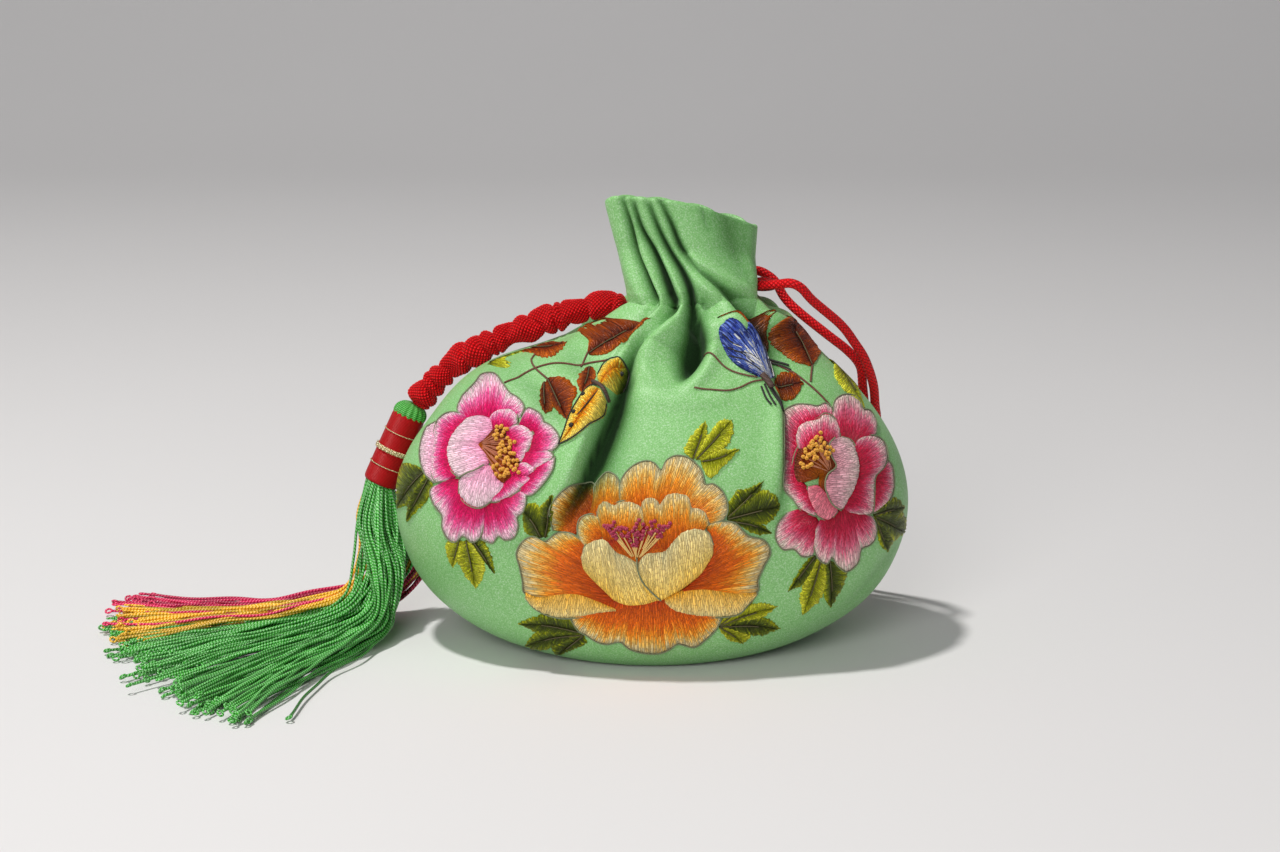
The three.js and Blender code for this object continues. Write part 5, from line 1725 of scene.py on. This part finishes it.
class POUCH_OT_knotted_cord(PouchOperator, Operator):
    """Makes the knotted cord: a tube whose radius swells at every knot along a slanting wave.

    The radius is its full size times 0.58 plus 0.43 of a rounded sine whose slant turns round the
    cord from knot to knot, with the small humps of two crossing families of strands on it. It
    ends in a rounder knot at each end
    """

    bl_idname = "pouch.knotted_cord"
    bl_label = "Knotted cord"

    def execute(self, context):
        cords = context.scene.pouch_cords
        full = cords.knotted_radius / MM
        steps, sides = 760, 104
        path = smooth_line(np.array(KNOT_ROUTE) / MM, steps)
        at = np.linspace(0, 1, steps)[:, None]
        angle = np.linspace(0, 2 * np.pi, sides, endpoint=False)[None, :]
        wander = 0.3 * np.sin(2 * np.pi * at * 3.3 + 0.6) + 0.16 * np.sin(2 * np.pi * at * 7.1)
        number = at * cords.knots + wander
        slanted = number + 0.18 * np.sin(angle + 2.4 * number)
        lobe = np.abs(np.sin(np.pi * slanted)) ** 0.5
        size = full * (0.58 + 0.43 * lobe) * (1 + 0.1 * np.sin(2 * np.pi * at * 3.1 + 0.9))
        size = size * (1 + 0.05 * np.sin(3 * angle + 4.0 * number)) * (1 - 0.2 * np.exp(-((at / 0.06) ** 2)))
        run = np.pi * at * line_length(path) / BRAID_PITCH
        turn = BRAID_ROUND * angle / 2
        size = size + 0.3 * (np.abs(np.sin(turn + run) * np.sin(turn - run)) ** 0.6 - 0.5)
        ends = np.clip(np.minimum(at, 1 - at) / 0.035, 0.02, 1)
        size = size * np.sqrt(ends * (2 - ends))
        shell = Shell()
        add_tubes(shell, path[None], size[None], sides)
        piece = shell.build(
            "knotted_cord_braid",
            [braid_finish("red_knots", cords.red, BRAID_PITCH, BRAID_ROUND, relief=1.0, gloss=0.42)]
        )
        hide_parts("knotted_cord")
        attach(piece, "knotted_cord")
        route = path[::8] * MM
        route[-1] = path[-1] * MM
        return {"FINISHED"}


class POUCH_OT_cloth(PouchOperator, Operator):
    """Makes the front and back of the pouch: satin that runs from the base to the frill's rim"""

    bl_idname = "pouch.cloth"
    bl_label = "Satin"

    def execute(self, context):
        cloth = context.scene.pouch_cloth
        satin = satin_finish("green_satin", tuple(cloth.satin), cloth.grain_and_glint)
        for name, side in (("front", -1), ("back", 1)):
            piece = cloth_layer(
                name + "_satin", side, CLOTH_RIM, cloth.fineness, even_depth(0.0), satin_back_face, satin
            )
            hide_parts(name + "_panel", name + "_channel", name + "_frill")
            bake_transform(piece)
        return {"FINISHED"}


class POUCH_OT_wadding(PouchOperator, Operator):
    """Makes the wadding and the lining inside the satin, with the same folds"""

    bl_idname = "pouch.wadding"
    bl_label = "Wadding and lining"

    def execute(self, context):
        cloth = context.scene.pouch_cloth
        wadding = padding_finish("white_wadding", tuple(cloth.wadding))
        lining = satin_finish("green_lining", tuple(cloth.lining), 0.4)
        fine = cloth.fineness
        for name, side in (("front", -1), ("back", 1)):
            faces = even_depth(WADDING_OUTER), even_depth(WADDING_INNER)
            piece = cloth_layer(name + "_fill", side, WADDING_TOP, fine, *faces, wadding)
            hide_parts(name + "_wadding")
            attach(piece, "pouch")
            faces = lining_depth(0.0), lining_depth(LINING_THICK)
            piece = cloth_layer(name + "_inner_cloth", side, CLOTH_FOOT, 0.7 * fine, *faces, lining)
            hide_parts(name + "_lining")
            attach(piece, "pouch")
        return {"FINISHED"}


class POUCH_OT_peonies(PouchOperator, Operator):
    """Makes the three peonies: raised satin stitch petals, a laid cord round each and stamens"""

    bl_idname = "pouch.peonies"
    bl_label = "Peonies"

    def execute(self, context):
        sewing = context.scene.pouch_embroidery
        generator = np.random.default_rng(sewing.seed)
        laid = wound_finish("outline_thread", tuple(sewing.outline_colour), 0.4, glint=0.2, gloss=0.6)
        for name, petals in PEONIES.items():
            kinds = sorted({petal[0] for petal in petals})
            finishes = [silk(kind, sewing, rows=PETAL_ROWS.get(kind, 9.0)) for kind in kinds]
            shell, edges = Shell(), Shell()
            for kind, height, outer, inner in petals:
                stitched_patch(shell, outer, inner, height, kinds.index(kind), generator)
                smooth = smooth_line(outer, max(8, int(line_length(np.array(outer, float)) / 1.6)))
                path = on_front(smooth, 0.3 + height * 0.45)
                add_tubes(edges, path[None], sewing.outline / MM, 6, around=1.5)
            for line in PETAL_EDGES[name]:
                laid_line(edges, line, 2.0, sewing.outline / MM)
            piece = shell.build(name + "_petals", finishes)
            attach(piece, "pouch")
            edge = edges.build(name + "_outlines", [laid])
            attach(edge, "pouch")
        for name, (root, tips) in STAMENS.items():
            knot_colour, line_colour = (tint(*colour) for colour in STAMEN_COLOURS[name])
            knots = wound_finish(name + "_knots", knot_colour, 0.3, glint=0.3)
            lines = wound_finish(name + "_lines", line_colour, 0.4, glint=0.4)
            shell = Shell()
            tips = np.array(tips, float)
            for k, tip in enumerate(tips):
                start = mix(np.array(root, float), tip, 0.16 + 0.22 * (k % 2)) + generator.uniform(-0.8, 0.8, 2)
                laid_line(
                    shell, [start, mix(start, tip, 0.5) + generator.uniform(-0.6, 0.6, 2), tip], 1.75, 0.2, slot=1
                )
            beside = [tips + generator.uniform(-1, 1, tips.shape) * STAMEN_SPREAD[name] for _ in range(2)]
            bead(shell, np.concatenate([tips, *beside]), 2.0, sewing.knot / MM)
            piece = shell.build(name, [knots, lines])
            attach(piece, "pouch")
        return {"FINISHED"}


class POUCH_OT_leaves(PouchOperator, Operator):
    """Makes the leaves and twigs: each lobe is two stitched halves that meet in a vein"""

    bl_idname = "pouch.leaves"
    bl_label = "Leaves and twigs"

    def execute(self, context):
        sewing = context.scene.pouch_embroidery
        generator = np.random.default_rng(sewing.seed + 1)
        kinds = sorted({leaf[0] for leaf in LEAVES})
        finishes = [silk(kind, sewing, uneven=0.5, rows=2.2) for kind in kinds]
        vein, twig = thread("vein_thread"), thread("twig_thread")
        shell, veins, twigs = Shell(), Shell(), Shell()
        for kind, middle, left, right in LEAVES:
            stem = smooth_line(middle, 12)[:-1]
            slant = np.vstack([stem[:1] + (stem[1] - stem[0]) * -0.3, stem])
            for margin in (left, right):
                stitched_patch(shell, margin, slant, 0.45, kinds.index(kind), generator, ragged=1.1, dome=0.25)
            laid_line(veins, stem[:8], 0.62, 0.17)
        for line in TWIGS:
            laid_line(twigs, line, 0.2, 0.32)
        for piece in (shell.build("leaves", finishes), veins.build("leaf_veins", [vein]), twigs.build("twigs", [twig])):
            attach(piece, "pouch")
        return {"FINISHED"}


class POUCH_OT_butterflies(PouchOperator, Operator):
    """Makes the yellow and the blue butterfly, stitched as the petals are"""

    bl_idname = "pouch.butterflies"
    bl_label = "Butterflies"

    def execute(self, context):
        sewing = context.scene.pouch_embroidery
        generator = np.random.default_rng(sewing.seed + 2)
        yellow = silk("wing_yellow", sewing, uneven=0.5, rows=3.0)
        blue = silk("wing_blue", sewing, uneven=1.3, rows=9.0)
        dark, brown = thread("dark_thread"), thread("feeler_thread")
        body, white = thread("body_thread"), thread("white_thread")
        shell = Shell()
        for middle, left, right in YELLOW_WINGS:
            for margin in (left, right):
                stitched_patch(shell, margin, smooth_line(middle, 12)[:-1], 0.7, 0, generator, ragged=0.4, dome=0.3)
        for line in YELLOW_LINES:
            laid_line(shell, line, 0.75, 0.22, slot=1)
        bead(shell, YELLOW_SPOTS, 0.8, 0.85, slot=1)
        laid_line(shell, [(594, 384), (600, 389), (606, 395), (609, 401)], 0.8, 0.6, slot=2, sides=10)
        piece = shell.build("yellow_butterfly", [yellow, dark, body])
        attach(piece, "pouch")
        shell = Shell()
        stitched_patch(shell, BLUE_WING[0], BLUE_WING[1], 0.8, 0, generator, ragged=0.6, dome=0.4)
        for k, line in enumerate(BLUE_STREAKS):
            laid_line(shell, line, 1.15, 0.22, slot=1)
            laid_line(shell, np.array(line[1:]) + (2.4, 2.0 - 4.0 * (k % 2)), 1.1, 0.26, slot=4)
        for line in TAIL_STRANDS:
            laid_line(shell, line, 0.35, 0.34, slot=1)
        for line in FEELERS:
            laid_line(shell, line, 0.25, 0.28, slot=2)
        laid_line(shell, [(760, 377), (766, 384), (770, 390)], 0.7, 1.0, slot=3, sides=10)
        piece = shell.build("blue_butterfly", [blue, dark, brown, body, white])
        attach(piece, "pouch")
        return {"FINISHED"}


def round_wrap(angle, height, radius):
    """Points round the tassel's own axis: height runs from the wrap's bottom, radius out from the axis."""
    axis = unit(WRAP_TOP - WRAP_BOTTOM)
    sideways = unit(np.cross(axis, [0.0, 1.0, 0.0]))
    up = np.cross(axis, sideways)
    out = np.cos(angle)[..., None] * sideways + np.sin(angle)[..., None] * up
    return WRAP_BOTTOM + np.asarray(height)[..., None] * axis + np.asarray(radius)[..., None] * out


def add_turned(shell, profile, sides=64, wave=0.0, waves=0):
    """A closed profile of height and radius turned round the tassel's axis, with waves round it."""
    profile = np.asarray(profile, float)
    angle = np.linspace(0, 2 * np.pi, sides, endpoint=False)
    grid_angle = np.broadcast_to(angle[None], (len(profile), sides))
    radius = profile[:, 1:] * (1 + wave * np.cos(waves * grid_angle))
    points = round_wrap(grid_angle, np.broadcast_to(profile[:, :1], grid_angle.shape), radius)
    quads, corners = grid_faces(len(profile), sides, closed=True)
    along = np.concatenate([[0], np.cumsum(np.linalg.norm(np.diff(profile, axis=0), axis=1))])
    uv = np.stack([corners[..., 1] / sides, along[corners[..., 0].astype(int)]], axis=-1)
    first, last = np.arange(sides)[::-1][None], (len(profile) - 1) * sides + np.arange(sides)[None]
    flat = np.zeros((1, sides, 2))
    shell.add(points.reshape(-1, 3), [(quads, uv), (first, flat), (last, flat + [0, along[-1]])])


# Gold threads: share of the wrap's length from its top, radius in mm and number of cords.
GOLD_THREADS = (
    ("upper_gold_thread", 0.27, 0.16, 1), ("gold_braid", 0.52, 0.32, 3), ("lower_gold_thread", 0.75, 0.16, 1)
)


class POUCH_OT_tassel_head(PouchOperator, Operator):
    """Makes the tassel's green cap, red wrap and gold threads, turned round the tassel's own axis"""

    bl_idname = "pouch.tassel_head"
    bl_label = "Tassel head"

    def execute(self, context):
        tassel = context.scene.pouch_tassel
        red = wound_finish(
            "red_wound_silk", wide_colour(context.scene.pouch_cords.red, 0.7), 0.42, along_cord=False, gloss=0.42,
            glint=0.02, dark=0.4, shine=0.16
        )
        green = wound_finish("green_silk_cap", tuple(tassel.green), 0.6, gloss=0.36, glint=0.3)
        gold = metal_thread_finish("gold_twist", tuple(tassel.gold))
        length = float(np.linalg.norm(WRAP_TOP - WRAP_BOTTOM))
        height = np.linspace(0, length, 80)
        belly = 0.12 * np.sin(np.pi * height / length) - 0.5 * np.exp(-height / 0.5)
        belly = belly - 0.5 * np.exp(-(length - height) / 0.5)
        shell = Shell()
        add_turned(shell, np.stack([height, WRAP_RADIUS + 0.5 * (1 - height / length) ** 2 + belly], axis=-1))
        pieces = [(shell.build("red_wrap", [red]), ["tassel_wrap", "tassel_core"], "wrap_red")]
        rise = np.radians(np.linspace(-50, 88, 16))
        profile = np.stack([length + 0.5 + 3.7 * np.sin(rise), (WRAP_RADIUS - 0.15) * np.cos(rise) ** 0.75], axis=-1)
        shell = Shell()
        add_turned(shell, profile, 96, wave=0.05, waves=16)
        knee = np.linspace(0, 1, 14)
        hang = WRAP_TOP + unit(WRAP_TOP - WRAP_BOTTOM) * 2.0
        for shift in ((-0.7, 0.2, 0.0), (0.6, -0.4, 0.1), (0.1, 0.7, 0.0)):
            path = mix(
                hang, np.array([-74.6, 17.4, 72.0]), knee[:, None]
            ) + np.array(shift) * np.sin(np.pi * knee)[:, None] * 2
            add_tubes(shell, path[None], 0.55, 8)
        pieces.append((shell.build("green_cap", [green]), ["tassel_cap"], "strand_green"))
        for name, share, radius, cords in GOLD_THREADS:
            shell = Shell()
            angle = np.linspace(0, 2 * np.pi, 180, endpoint=False)
            for k in range(cords):
                phase = 2 * np.pi * k / cords
                swing = 0.55 * np.sin(22 * angle + phase) if cords > 1 else 0 * angle
                out = 0.22 * np.cos(44 * angle + phase) if cords > 1 else 0.12 * np.sin(30 * angle)
                far = WRAP_RADIUS + 0.5 * share**2 + 0.1 + radius * 0.8 + out
                path = round_wrap(angle, length * (1 - share) + swing, far)
                add_tubes(shell, path[None], radius, 7, closed=True)
            pieces.append((shell.build(name + "_twist", [gold]), [name], "gold_thread"))
        for piece, nodes, slot in pieces:
            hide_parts(*nodes)
            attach(piece, "tassel_head")
        return {"FINISHED"}


def strand_paths(across, lift, loose, steps):
    """Centre lines of the strands: Catmull-Rom curves through eight places each.

    across runs from -1, the back strands, to 1, the front ones, and lift from -1, underneath, to
    1, on top. The first place is in the wrap's foot, the fourth in the bend over the floor, higher
    and further on for a strand on top, and the last at the end of the strand's reach, along a
    heading that turns from back to front. loose moves the places a little, more towards the ends.
    """
    round_share = np.sqrt(np.maximum(0, 1 - 0.92 * across**2))
    top = (1 + lift) / 2
    at_back = smoothstep(0.3, 0.75, -across)
    at_front = smoothstep(0.1, 1.0, across)
    heading = np.radians(mix(162.0, 247.0, (across + 1) / 2) + 9 * at_back - 2 * at_front + loose[:, 0] * 5)
    reach = 97 * (1 - 0.1 * (1 - across**2)) - 8 - 9 * at_back + 6 * at_front + loose[:, 1] * 7
    knee = np.stack([-88 - 2 * across**2 + 9 * at_front, 12 - 18 * across - 8 * at_back, 0 * across], axis=-1)
    room = np.where(
        np.sin(heading) < -0.5, (knee[:, 1] + 90.5 + 3 * loose[:, 1]) / np.maximum(-np.sin(heading), 0.5), 200
    )
    reach = np.minimum(reach, room)
    ahead = np.stack([np.cos(heading), np.sin(heading), 0 * heading], axis=-1)
    aside = np.stack([-np.sin(heading), np.cos(heading), 0 * heading], axis=-1)

    def spot(distance, sideways, high):
        level = np.stack([0 * across, 0 * across, high + 0 * across], axis=-1)
        return knee + ahead * distance[:, None] + aside * sideways[:, None] + level

    places = np.stack([
        np.stack(
            [
                WRAP_BOTTOM[0] - 0.15 - 4.4 * lift * round_share, WRAP_BOTTOM[1] - 4.6 * across,
                WRAP_BOTTOM[2] + 0.6 + 1.9 * lift * round_share
            ],
            -1
        ),
        np.stack(
            [
                -88.4 - 6.8 * lift * round_share + 6 * at_back + 1.5 * loose[:, 2], 14.6 - 8.5 * across + loose[:, 3],
                34 + 0.6 * lift
            ],
            -1
        ),
        np.stack(
            [
                -86.8 - 7.8 * lift * round_share + 11 * at_back + 2 * at_front + 2.2 * loose[:, 1],
                12 - 14 * across + 1.6 * loose[:, 3], 20 + 2.6 * top
            ],
            -1
        ),
        spot(3 + 9 * top - 9 * at_back, 1.5 * loose[:, 3], 4.6 + 7.5 * top),
        spot(0.2 * reach + 8 * top, 1.2 * loose[:, 2] - 1.5 + 3 * at_back, 0.8 + 6.2 * top),
        spot(0.45 * reach + 3 * top, 1.6 * loose[:, 2] - 3.2 + 9 * at_back, 0.6 + 4.6 * top),
        spot(0.72 * reach, 2.2 * loose[:, 2] - 2.6 + 7 * at_back, 0.6 + 3.6 * top),
        spot(reach, 3.2 * loose[:, 2], 0.55 + 2.6 * top),
    ], axis=1)
    ends = np.concatenate([2 * places[:, :1] - places[:, 1:2], places, 2 * places[:, -1:] - places[:, -2:-1]], axis=1)
    at = np.linspace(0, 7, steps)
    k = np.minimum(at.astype(int), 6)
    t = (at - k)[None, :, None]
    p0, p1, p2, p3 = ends[:, k], ends[:, k + 1], ends[:, k + 2], ends[:, k + 3]
    curve = p1 + 0.5 * t * (p2 - p0 + t * (2 * p0 - 5 * p1 + 4 * p2 - p3 + t * (3 * (p1 - p2) + p3 - p0)))
    freedom = smoothstep(2.2, 5.0, at)[None]
    sway = np.sin(at[None] * (2.1 + 0.9 * loose[:, 2:3]) + 9 * loose[:, 3:4])
    sway = sway + 0.5 * np.sin(at[None] * 4.7 + 11 * loose[:, 1:2])
    swell = 0.5 + 0.5 * np.sin(at[None] * 3.4 + 13 * loose[:, 0:1])
    curve += aside[:, None] * (0.8 * freedom * sway)[..., None]
    curve[..., 2] += 0.9 * freedom * swell * (0.3 + 0.7 * top[:, None])
    return curve


# Bundles of strands: from where to where they lie across the fan, and their colour.
STRAND_GROUPS = (
    ("pink_strands", -1.0, -0.62, "pink"),
    ("yellow_strands", -0.84, -0.12, "yellow"),
    ("green_back_strands", -0.5, 0.1, "green"),
    ("green_middle_strands", 0.1, 0.56, "green"),
    ("green_front_strands", 0.56, 1.0, "green"),
)

# Bundles whose strands lie mostly on top or mostly underneath.
STRAND_LIFTS = {"yellow_strands": (-0.5, 0.98), "green_back_strands": (-0.96, 0.3)}


class POUCH_OT_tassel_strands(PouchOperator, Operator):
    """Makes the tassel's strands by colour, each a thin twisted cord that ends in a small ring"""

    bl_idname = "pouch.tassel_strands"
    bl_label = "Tassel strands"

    def execute(self, context):
        tassel = context.scene.pouch_tassel
        generator = np.random.default_rng(tassel.seed)
        radius = tassel.strand_radius / MM
        finishes = {}
        for name, low, high, hue in STRAND_GROUPS:
            slot = "strand_" + hue
            if slot not in finishes:
                colour = wide_colour(getattr(tassel, hue), 1.5)
                glint = 0.6 if hue == "green" else 0.25
                finishes[slot] = wound_finish(
                    slot + "_twist", colour, 1.1, gloss=0.26, relief=0.7, glint=glint, dark=0.26, shine=0.55
                )
            count = max(4, int(tassel.strands * (high - low) / 2))
            across = generator.uniform(low, high, count)
            lift = generator.uniform(*STRAND_LIFTS.get(name, (-0.96, 0.96)), count)
            loose = np.clip(generator.normal(0, 0.55, (count, 4)), -1.3, 1.3)
            loose[generator.random(count) < 0.07] *= 1.6
            paths = strand_paths(across, lift, loose, 72)
            # Painted shade for strands that lie underneath, plus a random tone for each strand; the end rings get half
            # of it.
            depth = np.clip(0.34 * (1 - lift) / 2 + generator.uniform(-0.2, 0.5, count), 0, 0.7)
            paths[..., 2] = np.maximum(paths[..., 2], radius + 0.05)
            shell = Shell()
            add_tubes(shell, paths, radius, 5, depth=depth)
            end = paths[:, -1]
            ahead = unit(paths[:, -1] - paths[:, -3])
            flat = unit(np.stack([ahead[:, 1], -ahead[:, 0], 0 * ahead[:, 0]], -1))
            tilt = generator.uniform(-1.1, 1.1, (count, 1))
            flat = flat * np.cos(tilt) + np.array([0.0, 0.0, 1.0]) * np.sin(tilt)
            ring_angle = np.linspace(0, 2 * np.pi, 12, endpoint=False)
            tip = end[:, None] + ahead[:, None] * (1.05 * (1 - np.cos(ring_angle)))[None, :, None]
            tip = tip + flat[:, None] * (0.95 * np.sin(ring_angle))[None, :, None]
            tip[..., 2] = np.maximum(tip[..., 2], 0.45)
            add_tubes(shell, tip, 0.36, 5, closed=True, depth=depth * 0.5)
            piece = shell.build(name + "_silk", [finishes[slot]])
            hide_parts(name)
            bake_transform(piece)
        return {"FINISHED"}


# Lights: place and size in metres, the setting that holds the power, and colour.
LIGHTS = (
    ("main_light", (-0.50, -0.16, 1.55), 0.13, "key", (1.0, 0.985, 0.96)),
    ("front_light", (-0.45, -1.55, 0.78), 0.9, "fill", (1.0, 0.99, 0.98)),
)
LIT_PLACE = (0.0, 0.0, 0.05)


class POUCH_OT_stage(PouchOperator, Operator):
    """Makes the pale floor that sweeps up into the backdrop, and the lights"""

    bl_idname = "pouch.stage"
    bl_label = "Floor and lights"

    def execute(self, context):
        stage = context.scene.pouch_stage
        made = Finish("pale_floor")
        cloud = made.noise(made.place(), 3.0, 2.0)
        made.join(made.ramp(cloud, [(0.3, wide_colour(stage.floor, 0.985)), (0.7, tuple(stage.floor))]), "Base Color")
        made.set(Roughness=0.85, Specular_IOR_Level=0.15)
        rise = np.radians(np.linspace(0, 90, 24))
        y = np.concatenate([[-2200.0, -600.0, 900.0], 1100 + 900 * np.sin(rise), [2000.0]])
        z = np.concatenate([[0.0, 0.0, 0.0], 900 * (1 - np.cos(rise)), [2600.0]])
        x = np.array([-3000.0, 0.0, 3000.0])
        points = np.stack(np.broadcast_arrays(x[None, :], y[:, None], z[:, None]), axis=-1)
        quads, corners = grid_faces(len(y), 3)
        shell = Shell()
        shell.add(points.reshape(-1, 3), [(quads, corners)])
        floor = shell.build("floor_sweep", [made.material])
        for name, place, size, power, colour in LIGHTS:
            data = bpy.data.lights.new(name, "AREA")
            data.shape, data.size, data.energy, data.color = "DISK", size, getattr(stage, power), colour
            lamp = bpy.data.objects.new(name, data)
            lamp.location = place
            aim = unit(np.array(LIT_PLACE) - np.array(place))
            lamp.rotation_euler = (float(np.arccos(-aim[2])), 0.0, float(np.arctan2(-aim[0], aim[1])))
            context.scene.collection.objects.link(lamp)
        world = bpy.data.worlds.new("room")
        world.use_nodes = True
        world.node_tree.nodes["Background"].inputs["Color"].default_value = (0.95, 0.96, 1.0, 1.0)
        world.node_tree.nodes["Background"].inputs["Strength"].default_value = stage.sky
        context.scene.world = world
        context.scene.view_settings.view_transform = "Standard"
        return {"FINISHED"}


class POUCH_PT_pieces(Panel):
    """Lists the pouch's pieces and their settings in the sidebar"""

    bl_idname = "POUCH_PT_pieces"
    bl_label = "Embroidered pouch"
    bl_space_type = "VIEW_3D"
    bl_region_type = "UI"
    bl_category = "Pouch"

    def draw(self, context):
        for group, kind in SETTINGS.items():
            box = self.layout.box()
            for name in kind.__annotations__:
                box.prop(getattr(context.scene, group), name)
        for operator in OPERATORS:
            self.layout.operator(operator.bl_idname)


SETTINGS = {
    "pouch_cloth": PouchClothSettings,
    "pouch_embroidery": PouchEmbroiderySettings,
    "pouch_cords": PouchCordSettings,
    "pouch_tassel": PouchTasselSettings,
    "pouch_stage": PouchStageSettings,
}
OPERATORS = (
    POUCH_OT_view,
    POUCH_OT_pull_cord,
    POUCH_OT_drawcords,
    POUCH_OT_tassel_head,
    POUCH_OT_knotted_cord,
    POUCH_OT_tassel_strands,
    POUCH_OT_cloth,
    POUCH_OT_wadding,
    POUCH_OT_peonies,
    POUCH_OT_leaves,
    POUCH_OT_butterflies,
    POUCH_OT_stage,
)


def register():
    """Makes the settings, operators and panel known."""
    for item in (*SETTINGS.values(), *OPERATORS, POUCH_PT_pieces):
        bpy.utils.register_class(item)
    for name, settings in SETTINGS.items():
        setattr(bpy.types.Scene, name, PointerProperty(type=settings))


def unregister():
    """Takes them away again."""
    for name in SETTINGS:
        delattr(bpy.types.Scene, name)
    for item in reversed((*SETTINGS.values(), *OPERATORS, POUCH_PT_pieces)):
        bpy.utils.unregister_class(item)


def main():
    """Makes every piece."""
    register()
    for operator in OPERATORS:
        group, name = operator.bl_idname.split(".")
        getattr(getattr(bpy.ops, group), name)()
    bpy.context.view_layer.update()


if __name__ == "__main__":
    main()
